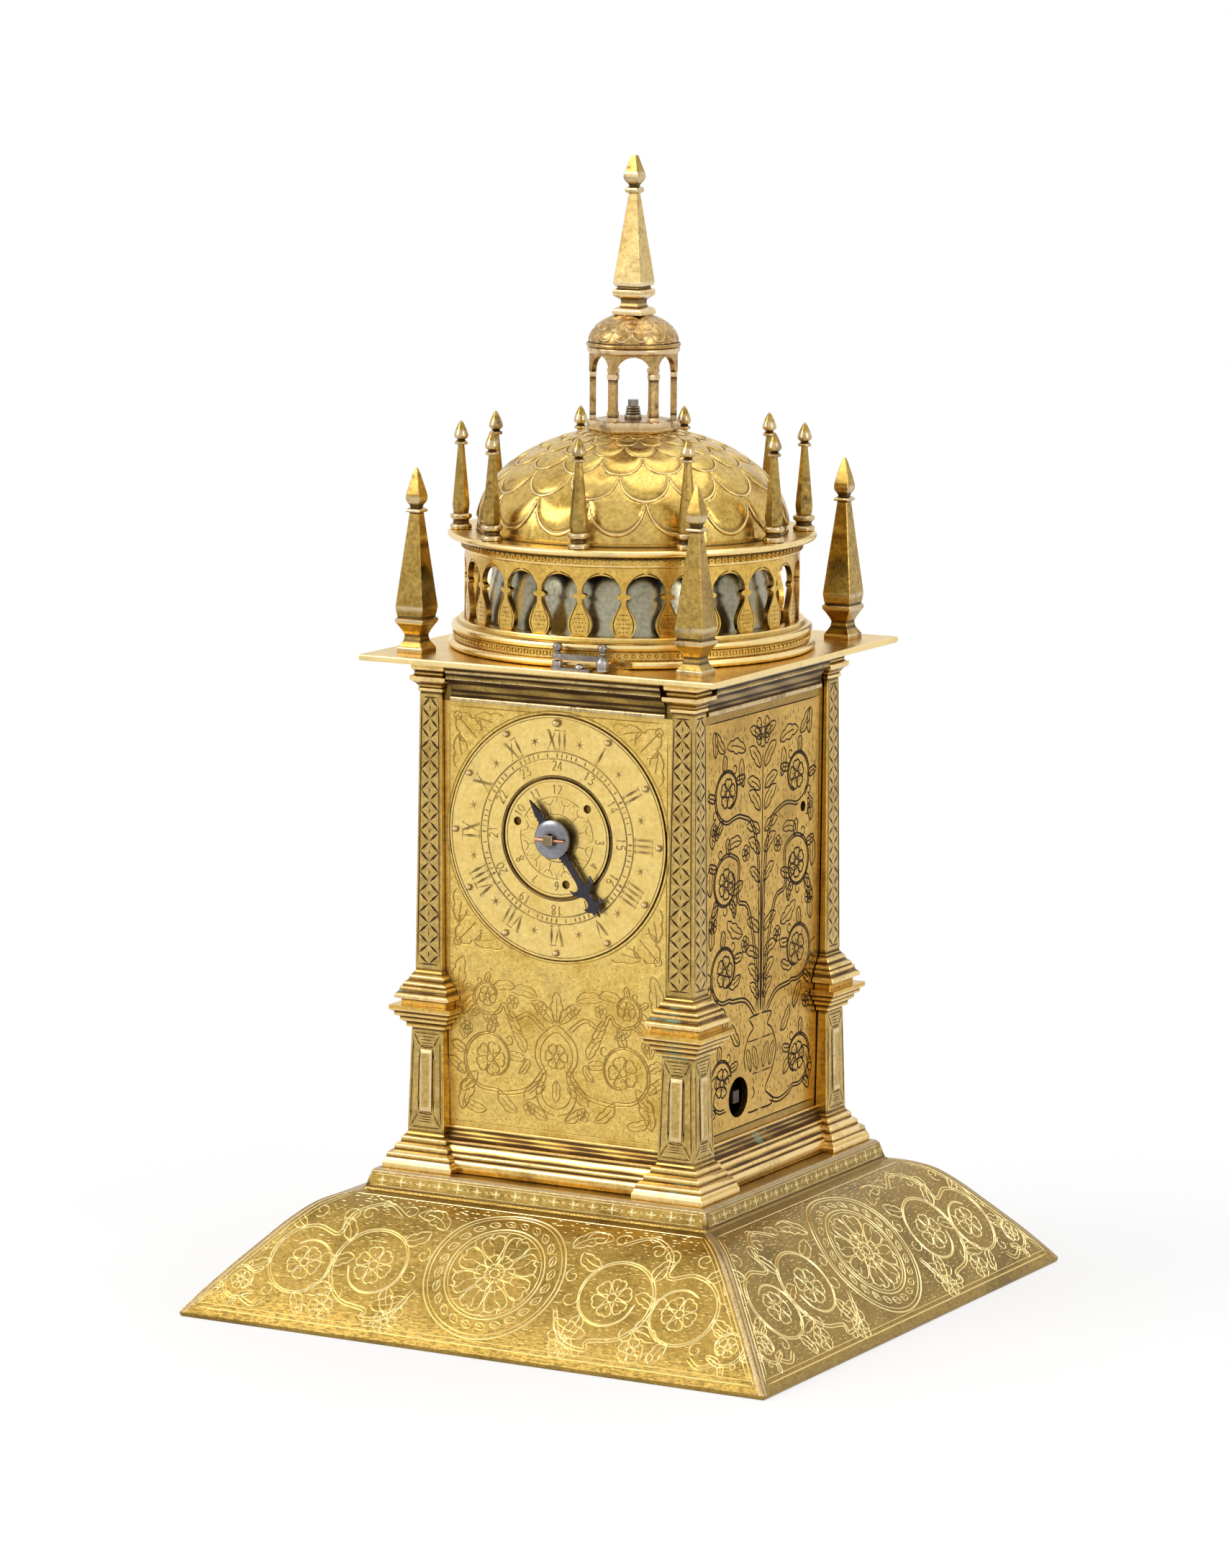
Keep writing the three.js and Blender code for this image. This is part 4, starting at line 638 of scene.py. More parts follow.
# bell metal kept dark: its own tone with painted shade of the bell inside the drum
bellMetal = metal("bellMetal", (0.47, 0.435, 0.30), (0.20, 0.18, 0.12), (0.0492, 0.04, 0.0234), rough=0.1, stain=0.4,
    stainSize=40.0, bump=0.1)
copperPin = metal("copperPin", (0.62, 0.34, 0.20), (0.45, 0.22, 0.12), (0.12, 0.07, 0.04), rough=0.3, stain=0.2)
print("materials ready")


# Geometry nodes: copies of one small piece set out round a ring
def ringTree():
    tree = bpy.data.node_groups.new("setRoundRing", "GeometryNodeTree")
    addSockets(tree, "INPUT", {"Geometry": "Geometry", "Piece": "Object", "Count": "Int", "Radius": "Float",
        "Height": "Float", "First Turn": "Float", "Material": "Material"})
    addSockets(tree, "OUTPUT", {"Geometry": "Geometry"})
    given = put(tree, "NodeGroupInput").outputs
    index = put(tree, "GeometryNodeInputIndex").outputs[0]
    share = maths(tree, "DIVIDE", index, given["Count"])
    angle = maths(tree, "MULTIPLY_ADD", share, 2 * math.pi, given["First Turn"])
    spin = put(tree, "ShaderNodeCombineXYZ", {"Z": angle})
    ahead = maths(tree, "MULTIPLY", given["Radius"], -1.0)
    reach = put(tree, "ShaderNodeCombineXYZ", {"Y": ahead, "Z": given["Height"]})
    swing = put(tree, "ShaderNodeVectorRotate", {"Vector": reach.outputs[0], "Angle": angle}, rotation_type="Z_AXIS")
    line = put(tree, "GeometryNodeMeshLine", {"Count": given["Count"], "Offset": (0, 0, 0)}, mode="OFFSET")
    spots = put(tree, "GeometryNodeSetPosition", {"Geometry": line.outputs["Mesh"], "Position": swing.outputs[0]})
    info = put(tree, "GeometryNodeObjectInfo", {"Object": given["Piece"]})
    copies = put(tree, "GeometryNodeInstanceOnPoints", {
        "Points": spots.outputs["Geometry"], "Instance": info.outputs["Geometry"], "Rotation": spin.outputs[0]})
    real = put(tree, "GeometryNodeRealizeInstances", {"Geometry": copies.outputs["Instances"]})
    coat = put(tree, "GeometryNodeSetMaterial", {"Geometry": real.outputs["Geometry"], "Material": given["Material"]})
    put(tree, "NodeGroupOutput", {"Geometry": coat.outputs["Geometry"]})
    return tree


setRoundRing = ringTree()


def roundRing(name, piece, count, radius, height, material):
    # One plain mesh of copies round the drum; the piece is drawn at the origin facing the front
    holder = addObject(name, bpy.data.meshes.new(name))
    layout = holder.modifiers.new("ring", "NODES")
    layout.node_group = setRoundRing
    values = {"Piece": piece, "Count": count, "Radius": radius * mm, "Height": height * mm,
              "First Turn": math.radians(drumTurn), "Material": material}
    for socket in setRoundRing.interface.items_tree:
        if socket.in_out == "INPUT" and socket.name in values:
            layout[socket.identifier] = values[socket.name]
    settle(holder)
    bpy.data.objects.remove(piece)
    return holder


# Foot: hollow square slope, engraved on all four sides, with a punched riser
foot = {
    "half": 91.6, "rim": 1.2, "slopeTop": 33.4, "slopeTopHalf": 54.8, "riserTop": 39.1, "riserTopHalf": 52.0,
    "wall": 1.7,
    "slope": [(0, 0), (0.125, 0.18), (0.26, 0.357), (0.41, 0.54), (0.546, 0.708), (0.641, 0.811), (0.717, 0.882),
        (0.79, 0.929), (0.891, 0.972), (1, 1)],
}


def arcLengths(line):
    return np.r_[0, np.cumsum(np.linalg.norm(np.diff(line, axis=0), axis=1))]


slope = through([(foot["half"] - (foot["half"] - foot["slopeTopHalf"]) * a,
    foot["rim"] + (foot["slopeTop"] - foot["rim"]) * b) for a, b in foot["slope"]], 2)
slopeAlong = arcLengths(slope)
slopeLong = slopeAlong[-1]


def slopeAt(v):
    # Half width and height at a distance up the slope
    return [float(np.interp(v, slopeAlong, slope[:, k])) for k in (0, 1)]


def slopeHalf(v):
    return slopeAt(v)[0]


def slopeSpot(u, v, sunk):
    half, z = slopeAt(v)
    ahead, behind = slopeAt(min(v + 0.5, slopeLong)), slopeAt(max(v - 0.5, 0))
    dh, dz = ahead[0] - behind[0], ahead[1] - behind[1]
    size = math.hypot(dh, dz)
    return u, -(half - sunk * dz / size), z + sunk * dh / size


def slopeOrnament(seed):
    low, high = 2.4, slopeLong - 3.6
    middle = (low + high) / 2 + 0.4
    art = []
    for v, wide in ((low, 0.22), (low + 1.4, 0.14), (high + 0.6, 0.16)):
        art.append(stroke(np.linspace((2.6 - slopeHalf(v), v), (slopeHalf(v) - 2.6, v), 36), wide))
    edges = ((2.6, low, high + 0.6, 18, 0.2), (4.0, low + 1.4, high - 0.6, 16, 0.13))
    for side in (-1, 1):
        for inset, first, last, count, wide in edges:
            edge = [(side * (slopeHalf(v) - inset), v) for v in np.linspace(first, last, count)]
            art.append(stroke(edge, wide))
    # a wreath with a rose in the middle of each side; heights count from there
    rings = ((21.0, 0.26), (19.8, 0.16), (14.8, 0.25), (13.8, 0.15))
    wreath = [ringStroke(0, 0, r, w, 72, 0.97) for r, w in rings]
    for a in np.linspace(0, 2 * math.pi, 24, endpoint=False):
        x, y = 16.2 * math.cos(a), 16.2 * 0.97 * math.sin(a)
        wreath += leaf(x, y, math.degrees(a) + 62, 4.0, 1.0, 30, 1, 0.17)
    wreath += blossom(0, 0, 12.4, 8, 22.5, 0.21) + blossom(0, 0, 6.0, 6, 0, 0.2)
    for a in np.linspace(0, 2 * math.pi, 16, endpoint=False):
        ray = [(r * math.cos(a + bend), r * math.sin(a + bend)) for r, bend in ((9.0, 0), (11.2, 0.12), (13.4, 0))]
        wreath.append(stroke(through(ray, 3), 0.16))
    half = []
    for branch in (([(22, -8), (27, -17), (35, -19)], 37.5, -2.5, 14.0, -100, 470, 6, 0.22, 0.42),
            ([(34, 14), (42, 18.5), (50, 13)], 59.0, -4.5, 12.5, 125, -450, 5, 0.21, 0.42),
            ([(66, -17), (70, -19.5), (75, -17)], 76.4, -12.4, 6.0, 215, 400, 5, 0.19, 0.5)):
        half += scroll(*branch)
    half += leaves(((20, 11, 62, 13, 3.0, -85, 3), (23, -11, -40, 12, 2.8, 50, 3), (70, 3, 82, 13, 2.6, -25, 3),
        (72, -2, 20, 9, 2.1, 45, 2), (82, -16, 35, 7, 1.6, 60, 2)), 0.19)
    half += blossom(48.6, -17.4, 3.8, 5, 10, 0.18) + blossom(27.5, -19.0, 3.6, 5, 30, 0.18)
    for x, y, size, start, sweep in (
            (23.5, 2.5, 2.4, 90, 400), (26.5, 15.5, 3.6, 200, -420), (33.5, 16.0, 2.8, 20, 400),
            (45.5, 13.5, 2.6, 160, -400), (50.0, 12.5, 3.4, 250, 420), (46.0, -13.0, 2.6, 120, 400),
            (54.5, -19.0, 2.2, 200, -380), (60.5, 12.8, 2.6, 300, -400), (67.5, -14.5, 2.4, 60, 400),
            (24.5, -15.5, 2.4, 0, -400), (33.0, -20.0, 1.8, 90, 380), (76.0, -1.5, 2.2, 140, -400),
            (42.5, 18.0, 2.0, 40, 380)):
        half.append(stroke(volute(x, y, size, size * 0.25, start, sweep, 20), 0.18))
    art += lifted(wreath + mirrored(half), middle)
    art = trimmed(art, lambda x, y: abs(x) < slopeHalf(y) - 2.2 and low - 0.1 < y < high + 0.8)
    inside = lambda x, y: abs(x) < slopeHalf(y) - 4.6 and math.hypot(x, (y - middle)) > 21.5
    return art + dashes(art, inside, (-86, low + 2, 86, high), 380, seed, 1.5, 0.13, 1.0, 0.0)


def footPiece():
    parts = []
    wall, riserTop, riserHalf = foot["wall"], foot["riserTop"], foot["riserTopHalf"]
    outline = [(-slopeHalf(v), v) for v in slopeAlong[::-1]] + [(slopeHalf(v), v) for v in slopeAlong]
    folds = [np.array([(-slopeHalf(v), v), (slopeHalf(v), v)]) for v in slopeAlong[1:-1]]
    for seed, sides in ((4, (0, 180)), (9, (90, 270))):
        sheet = engrave(outline, [], slopeOrnament(seed), folds, 0.2)
        parts += [sheetPart(sheet, turnedSide(side, slopeSpot), 0.5) for side in sides]
    # a rounded rib covers each mitre
    rib = ((-1.3, -0.75), (-0.75, 0.02), (-0.3, 0.1), (0.3, 0.1), (0.75, 0.02), (1.3, -0.75))
    verts = [((h - 0.36) * math.sqrt(2) + out, across, z + 0.05 + out * 0.2) for h, z in slope for across, out in rib]
    mitre = (verts, strips(len(slope), len(rib), closed=False), [-0.9] * len(verts))
    parts += [placed(mitre, turn=turn) for turn in (45, 135, 225, 315)]
    # the shell under the engraved sheets: outside, inside, and the rim between them
    inset = [(h - 0.35, z - 0.35) for h, z in slope]
    inset[0] = (foot["half"] - 0.3, foot["rim"])
    top = soften([(foot["slopeTopHalf"] - 0.2, foot["slopeTop"] - 0.3), (53.9, 34.4), (52.9, 38.2),
        (riserHalf, riserTop), (30, riserTop)], 0.6)
    outside = [(foot["half"] - 0.3, 0.0, 0.3), (foot["half"], 0.5, 0), (foot["half"], foot["rim"], 0), *inset, *top]
    under = [(30, riserTop - wall, 0.5), (riserHalf - wall, riserTop - wall, 0.5)]
    under += [(h - wall, z - wall, 0.5) for h, z in reversed(slope[2:])] + [(foot["half"] - wall, 0.0, 0.5)]
    shell, lower = loft(outside, squareSection), loft(under, squareSection)
    base = len(shell[0])
    faces = shell[1][:-2] + shell[1][-1:] + [tuple(i + base for i in reversed(face)) for face in lower[1][:-2]]
    faces.append(tuple(i + base for i in lower[1][-2]))
    count = len(squareSection(1.0))
    last = base + len(lower[0]) - count
    faces += [(i, last + i, last + (i + 1) % count, (i + 1) % count) for i in range(count)]
    parts.append((shell[0] + lower[0], faces, shell[2] + lower[2]))
    return joinParts("footShell", parts, giltFoot, 13)


dress(footPiece(), "case", "gilt_brass", "foot")


riser = {"lines": 51.4, "foot": 34.35, "out": 53.98, "lean": 0.26, "climb": 0.965, "pitch": 6.1, "high": 3.95}


def riserBand():
    # Small crosses of four petals punched between two lines
    reach, high, pitch = riser["lines"], riser["high"], riser["pitch"]
    art = [stroke(np.linspace((-reach, v), (reach, v), 24), 0.13) for v in (0.45, 3.5)]
    for k in range(-8, 9):
        x, y = k * pitch, 2.0
        for dx, dy in ((1.1, 0), (-1.1, 0), (0, 1.0), (0, -1.0)):
            art.append(stroke([(x + dx * share, y + dy * share) for share in (0.2, 0.7, 1.3)], 0.36))
        for dx, dy in ((0.5, 0.5), (-0.5, 0.5), (0.5, -0.5), (-0.5, -0.5)):
            art.append(stroke([(x + pitch / 2 + dx * share, y + dy * share) for share in (0.1, 1)], 0.15))
    sheet = engrave([(-52.6, 0.0), (52.6, 0.0), (52.4, high), (-52.4, high)], [], art, (), 0.14)
    onRiser = lambda u, v, sunk: (u, -(riser["out"] - v * riser["lean"] - sunk), riser["foot"] + v * riser["climb"])
    return joinParts("riserBand", [sheetPart(sheet, turnedSide(side * 90, onRiser), 0.3) for side in range(4)],
        giltFoot, 13)


dress(riserBand(), "case", "gilt_brass")
print("foot engraved")


# Corner supports: stepped pedestals with framed panels, tapering pilasters with a lozenge lattice
pedestal = {"shaftFoot": 49.2, "shaftTop": 78.5, "shaftFootHalf": 5.8, "shaftTopHalf": 5.0}
pilaster = {"shaftFoot": 94.8, "shaftTop": 172.8, "shaftFootHalf": 4.25, "shaftTopHalf": 3.4}
pedestalProfile = [(11.1, 39.15), (11.1, 40.5), (10.5, 41.9), (10.2, 42.2), (10.2, 43.2), (9.4, 43.9), (8.6, 44.2),
    (8.6, 45.4), (7.8, 46.0), (7.2, 46.3), (7.2, 47.6), (6.3, 48.2), (5.8, 49.2), (5.0, 78.5), (6.2, 78.8),
    (6.2, 80.0), (7.0, 80.5), (7.5, 80.7), (7.5, 81.8), (8.3, 82.1), (8.7, 82.3), (8.7, 83.3), (9.8, 83.8),
    (9.8, 85.15)]
pilasterProfile = [(7.2, 85.2), (7.2, 86.9), (8.7, 87.1), (8.7, 88.1), (7.9, 88.8), (7.6, 89.2), (7.6, 90.2),
    (6.9, 90.5), (6.9, 91.3), (5.9, 92.0), (5.6, 92.3), (5.6, 93.1), (4.7, 94.0), (4.25, 94.8), (3.4, 172.8),
    (3.95, 173.1), (3.95, 173.9), (3.6, 174.1), (4.3, 175.2), (5.6, 176.2), (5.7, 177.3), (4.7, 177.6), (4.6, 178.6),
    (5.3, 179.3), (5.4, 181.9)]


def shaftHalf(piece, v):
    share = (v - piece["shaftFoot"]) / (piece["shaftTop"] - piece["shaftFoot"])
    return piece["shaftFootHalf"] + (piece["shaftTopHalf"] - piece["shaftFootHalf"]) * share


def shaftPlace(turn, face, piece):
    # Onto one outer face of a tapering shaft; u runs across, v up
    centre = case["corner"]

    def spot(u, v, sunk):
        out = centre + (shaftHalf(piece, v) + 0.12 - sunk)
        return (out, centre + u, v) if face == 0 else (centre - u, out, v)
    return turnedSide(turn, spot)


def taperedSheet(piece, low, high, margin=0.25):
    a, b = shaftHalf(piece, low) - margin, shaftHalf(piece, high) - margin
    return [(-a, low), (a, low), (b, high), (-b, high)]


def panelStrokes():
    # a raised tablet in a bevelled frame
    corners = ((-1, 50.6), (1, 50.6), (1, 77.2), (-1, 77.2))
    frameLine = [(side * (shaftHalf(pedestal, v) - 0.85), v) for side, v in corners]
    tablet = [(-2.4, 54.6), (2.4, 54.6), (2.1, 73.4), (-2.1, 73.4)]
    face = [(-1.55, 56.0), (1.55, 56.0), (1.35, 72.0), (-1.35, 72.0)]
    art = border(frameLine, 6, 0.24) + border(tablet, 6, 0.34) + border(face, 6, 0.16)
    for start, end in zip(frameLine, tablet):
        art.append(stroke(np.linspace(start, end, 4), 0.22))
    for v in np.linspace(52.2, 53.6, 3):
        wide = 2.2 + (54.6 - v) * 0.35
        art.append(stroke(np.linspace((-wide, v), (wide, v), 4), 0.12))
    for v in np.linspace(74.4, 76.2, 3):
        wide = 1.9 + (v - 73.4) * 0.4
        art.append(stroke(np.linspace((-wide, v), (wide, v), 4), 0.12))
    return art


def latticeStrokes():
    # tall lozenges with a notch in each, between two border lines
    art, low, high = [], 96.6, 171.4
    for side in (-1, 1):
        art.append(stroke([(side * (shaftHalf(pilaster, v) - 0.75), v) for v in np.linspace(low, high, 12)], 0.2))
    for v in (low, high):
        art.append(stroke(np.linspace((0.75 - shaftHalf(pilaster, v), v), (shaftHalf(pilaster, v) - 0.75, v), 4), 0.2))
    count = 13
    tall = (high - low) / count
    for i in range(count):
        v0, v1 = low + i * tall, low + (i + 1) * tall
        middle = (v0 + v1) / 2
        foot, top = (0, v0), (0, v1)
        left, right = [(side * (shaftHalf(pilaster, middle) - 0.85), middle) for side in (-1, 1)]
        for ends in ((foot, left), (foot, right), (left, top), (right, top)):
            art.append(stroke(np.linspace(*ends, 3), 0.36))
        art.append(stroke([(0, middle - 1.0), (0, middle), (0, middle + 1.0)], 0.18))
    return art


# The tablet of a pedestal: half width, foot, top, how deep it lies, and wear
tabletRows = [(1.95, 55.1, 72.9, 0.05, 1.0), (1.85, 55.3, 72.7, -0.3, -0.9), (1.3, 56.3, 71.7, -0.55, -0.9),
    (1.15, 56.5, 71.5, -0.55, 0.0)]


def supports():
    pedestalSheet = engrave(taperedSheet(pedestal, 49.8, 78.0), [], panelStrokes(), (), 0.16)
    pilasterSheet = engrave(taperedSheet(pilaster, 95.4, 172.3), [], latticeStrokes(), (), 0.13)
    kinds = (("pedestal", pedestalProfile, pedestalSheet, pedestal),
        ("pilaster", pilasterProfile, pilasterSheet, pilaster))
    for name, turn in (("front_left", 180), ("front_right", 270), ("rear_right", 0), ("rear_left", 90)):
        for kind, profile, sheet, sizes in kinds:
            solid = placed(loft(soften(profile, 0.2), cornerSection), case["corner"], case["corner"])
            dress(joinParts(kind + "Dressed_" + name, [placed(solid, turn=turn)], gilt, 30), "case", "gilt_brass",
                  kind + "_" + name)
            parts = []
            for face in (0, 1):
                onFace = shaftPlace(turn, face, sizes)
                parts.append(sheetPart(sheet, onFace, 0.3))
                if kind == "pedestal":
                    verts = [onFace(u, v, sunk) for half, low, high, sunk, wearAndShade in tabletRows
                             for u, v in ((-half, low), (half, low), (half, high), (-half, high))]
                    wearAndShade = [row[-1] for row in tabletRows for corner in range(4)]
                    parts.append((verts, strips(len(tabletRows), 4) + [(12, 13, 14, 15)], wearAndShade))
            dress(joinParts(kind + "Faces_" + name, parts, giltLattice, 13), "case", "gilt_brass")


supports()
print("pedestals and pilasters up")


# Plinth and cornice mouldings run between the supports on each side of the case
plinthProfile = [(46.9, 39.15), (47.3, 39.5), (47.6, 40.8), (47.6, 42.0), (47.2, 42.7), (46.6, 43.0), (46.6, 44.0),
    (46.0, 44.6), (45.3, 46.0), (44.8, 46.7), (44.8, 47.6), (44.2, 47.8), (43.6, 48.2), (42.9, 49.2), (42.4, 50.4),
    (42.3, 51.35), (41.0, 51.4)]
corniceProfile = [(41.2, 170.9), (42.4, 170.9), (42.6, 171.6), (42.4, 172.1), (42.0, 172.3), (42.0, 173.8),
    (42.5, 174.6), (43.4, 176.2), (44.5, 177.0), (45.0, 177.1), (45.0, 178.6), (45.4, 179.2), (45.7, 180.0),
    (46.4, 180.8), (46.6, 181.9), (41.2, 181.95)]


def mouldingBars(name, profile, reach, nodeName, material, grime):
    inner, outer = case["inner"], case["half"] - 0.1
    low, high = profile[0][1], profile[-1][1]
    loopLine = [(inner, low, 0.3)] + soften(profile, 0.18) + [(inner, high, 0.3)]
    count, stations = len(loopLine), np.linspace(-reach, reach, 25)
    verts, patinaAndShade = [], []
    for u in stations:
        for half, z, dirtAndShade in loopLine:
            verts.append((u, -half, z))
            ending = 0.25 if abs(abs(u) - reach) < 0.1 else 0
            patinaAndShade.append(dirtAndShade + ending + (grime * (0.6 + 0.4 * math.sin(u * 0.31 + z)) if dirtAndShade >= 0 else 0))
    last = (len(stations) - 1) * count
    faces = strips(len(stations), count) + [tuple(range(count)), tuple(reversed(range(last, last + count)))]
    parts = [placed((verts, faces, patinaAndShade), turn=side * 90) for side in range(4)]
    core = [(outer, low, 0.6), (outer, high, 0.6), (inner + 0.2, high, 0.6), (inner + 0.2, low, 0.6)]
    parts.append(loft(core, squareSection, loop=True))
    return dress(joinParts(name, parts, material, 30), "case", "gilt_brass", nodeName)


mouldingBars("plinthMoulding", plinthProfile, 34.0, "plinth_frame", gilt, 0.55)
mouldingBars("corniceMoulding", corniceProfile, 33.6, "cornice_frame", giltWorn, 0.6)


# Case panels with engraved faces
def panelPlace(side, face):
    return turnedSide(side, lambda u, v, sunk: (u, -(face - sunk), v))


def panelOutline(half):
    low, high = case["plinthTop"], case["corniceFoot"]
    return [(-half, low), (half, low), (half, high), (-half, high)]


def dirtyEdges(sheet, reach, low, high):
    # faces between the engraved border and the panel's edge are drawn darker
    x, y = sheet["middles"].T
    outside = (np.abs(x) > reach) | (y < low) | (y > high)
    sheet["shade"][outside] = np.maximum(sheet["shade"][outside], 0.34)


def vineUp(seed, reach=33.0, low=54.5, high=167.5):
    # A vase with climbing scrolls, mirrored about the middle of the panel; heights count from its foot
    half = [stroke(through([(0.0, 2), (6.5, 2), (7.5, 4), (3.2, 7), (7.2, 12), (9.6, 18), (7.0, 23.5), (4.2, 25.5),
        (6.4, 28.5), (0.0, 29)], 4), 0.22)]
    half += [stroke(np.linspace((0.0, v), (wide, v), 4), 0.16) for v, wide in ((12.5, 7.5), (22, 8.2))]
    half += leaves(((1.8, 13.2, 78, 8.0, 1.6, -20, 2), (5.4, 13.2, 75, 7.5, 1.4, -12, 2)), 0.16)
    for branch in (([(3.0, 29), (9, 34), (17, 35)], 21.5, 44, 9.0, -110, 380, 5, 0.22),
            ([(1.6, 29), (3.5, 46), (8, 60), (14, 63)], 21.0, 68.5, 8.6, 150, -380, 6, 0.22),
            ([(0.9, 30), (1.4, 66), (5, 82), (12, 86)], 20.5, 93.5, 8.4, -120, 390, 5, 0.22),
            ([(5.5, 4), (11, 2.5), (17, 3.5)], 22.5, 13.0, 8.4, -110, 370, 6, 0.2)):
        half += scroll(*branch)
    half += leaves([(1.2, v, head, long, long * 0.2, -45, 2) for v, long, head in (
        (33, 8, 64), (38, 9, 60), (45, 9, 40), (52, 9, 50), (66, 8, 58), (74, 9, 55), (80, 9, 40), (86, 10, 62),
        (92, 9, 45), (98, 10, 64), (106, 8, 50))], 0.19)
    half += leaves([(x, v, head, long, long * 0.2, curl, 2) for x, v, head, long, curl in (
        (30, 5, 95, 12, 40), (14, 9, 60, 9, -60), (12, 22, 30, 9, 50), (20, 27, 75, 9, -40), (31, 33, 80, 9, 40),
        (12, 42, -40, 8, 50), (30, 51, 110, 9, -50), (11, 68, -30, 9, 40), (30, 66, 70, 9, 50), (31, 90, 95, 9, -40),
        (11, 94, 60, 9, 50), (22, 105, 30, 9, 40), (28, 104, 100, 8, -40), (16, 58, 80, 7, 40))], 0.19)
    for x, v in ((27.5, 28.5), (9.5, 50.0), (28.5, 58.0), (9.5, 75.5), (27.5, 83.5)):
        half += blossom(x, v, 2.3, 5, 12, 0.16)
    half += leaves(((28, 25, 70, 11, 2.2, -50, 3), (30, 56, 100, 9, 1.9, 50, 2), (11, 53, 10, 11, 2.2, 40, 3),
        (12, 79, 20, 9, 1.8, -60, 2), (29, 79, 80, 8, 1.8, 40, 2), (10, 104, 30, 12, 2.2, -40, 3)), 0.18)
    art = mirrored(half) + blossom(0, 108.5, 4.6, 8, 0, 0.18) + [stroke(np.linspace((0, 30), (0, 103), 24), 0.2)]
    art = [s for s in lifted(art, low) if np.abs(s[0][:, 0]).max() < reach and s[0][:, 1].max() < high]
    inside = lambda x, y: abs(x) < reach - 1.5 and low + 1.5 < y < high - 1.5
    art += dashes(art, inside, (-reach, low, reach, high), 420, seed, 1.7, 0.14, 1.15)
    wide, foot, top = reach + 1, low - 1, high + 1
    art += border([(-wide, foot), (wide, foot), (wide, top), (-wide, top)], 12, 0.15)
    return [(points, thick * 1.3, closed) for points, thick, closed in art]


def sidePanel(name, nodeName, side, holes, seed):
    half = case["half"]
    outline = panelOutline(half - case["sheet"] if side in (90, 270) else half)
    strokes = clipped(vineUp(seed), [(cx, cy, r + (1.8 if r > 3 else 1.2)) for cx, cy, r in holes])
    sheet = engrave(outline, holes, strokes, (), 0.15)
    dirtyEdges(sheet, 34.0, 53.5, 168.5)
    back = engrave(outline, [(cx, cy, r + 0.05) for cx, cy, r in holes], [])
    parts = [sheetPart(sheet, panelPlace(side, half), 0.5), sheetPart(back, panelPlace(side, half - 0.45), 1.35),
             sheetPart(back, panelPlace(side, half - case["sheet"]), 0.0)]
    return dress(joinParts(name, parts, giltOliveShaded, 13), "case", "gilt_brass", nodeName)


sidePanel("rightPanel", "right_panel", 90, [(-12.8, 62.0, 5.65), (24.5, 138.4, 1.5)], 3)
sidePanel("leftPanel", "left_panel", 270, [], 5)
sidePanel("rearPanel", "rear_panel", 180, [(0.0, 116.0, 5.65)], 7)


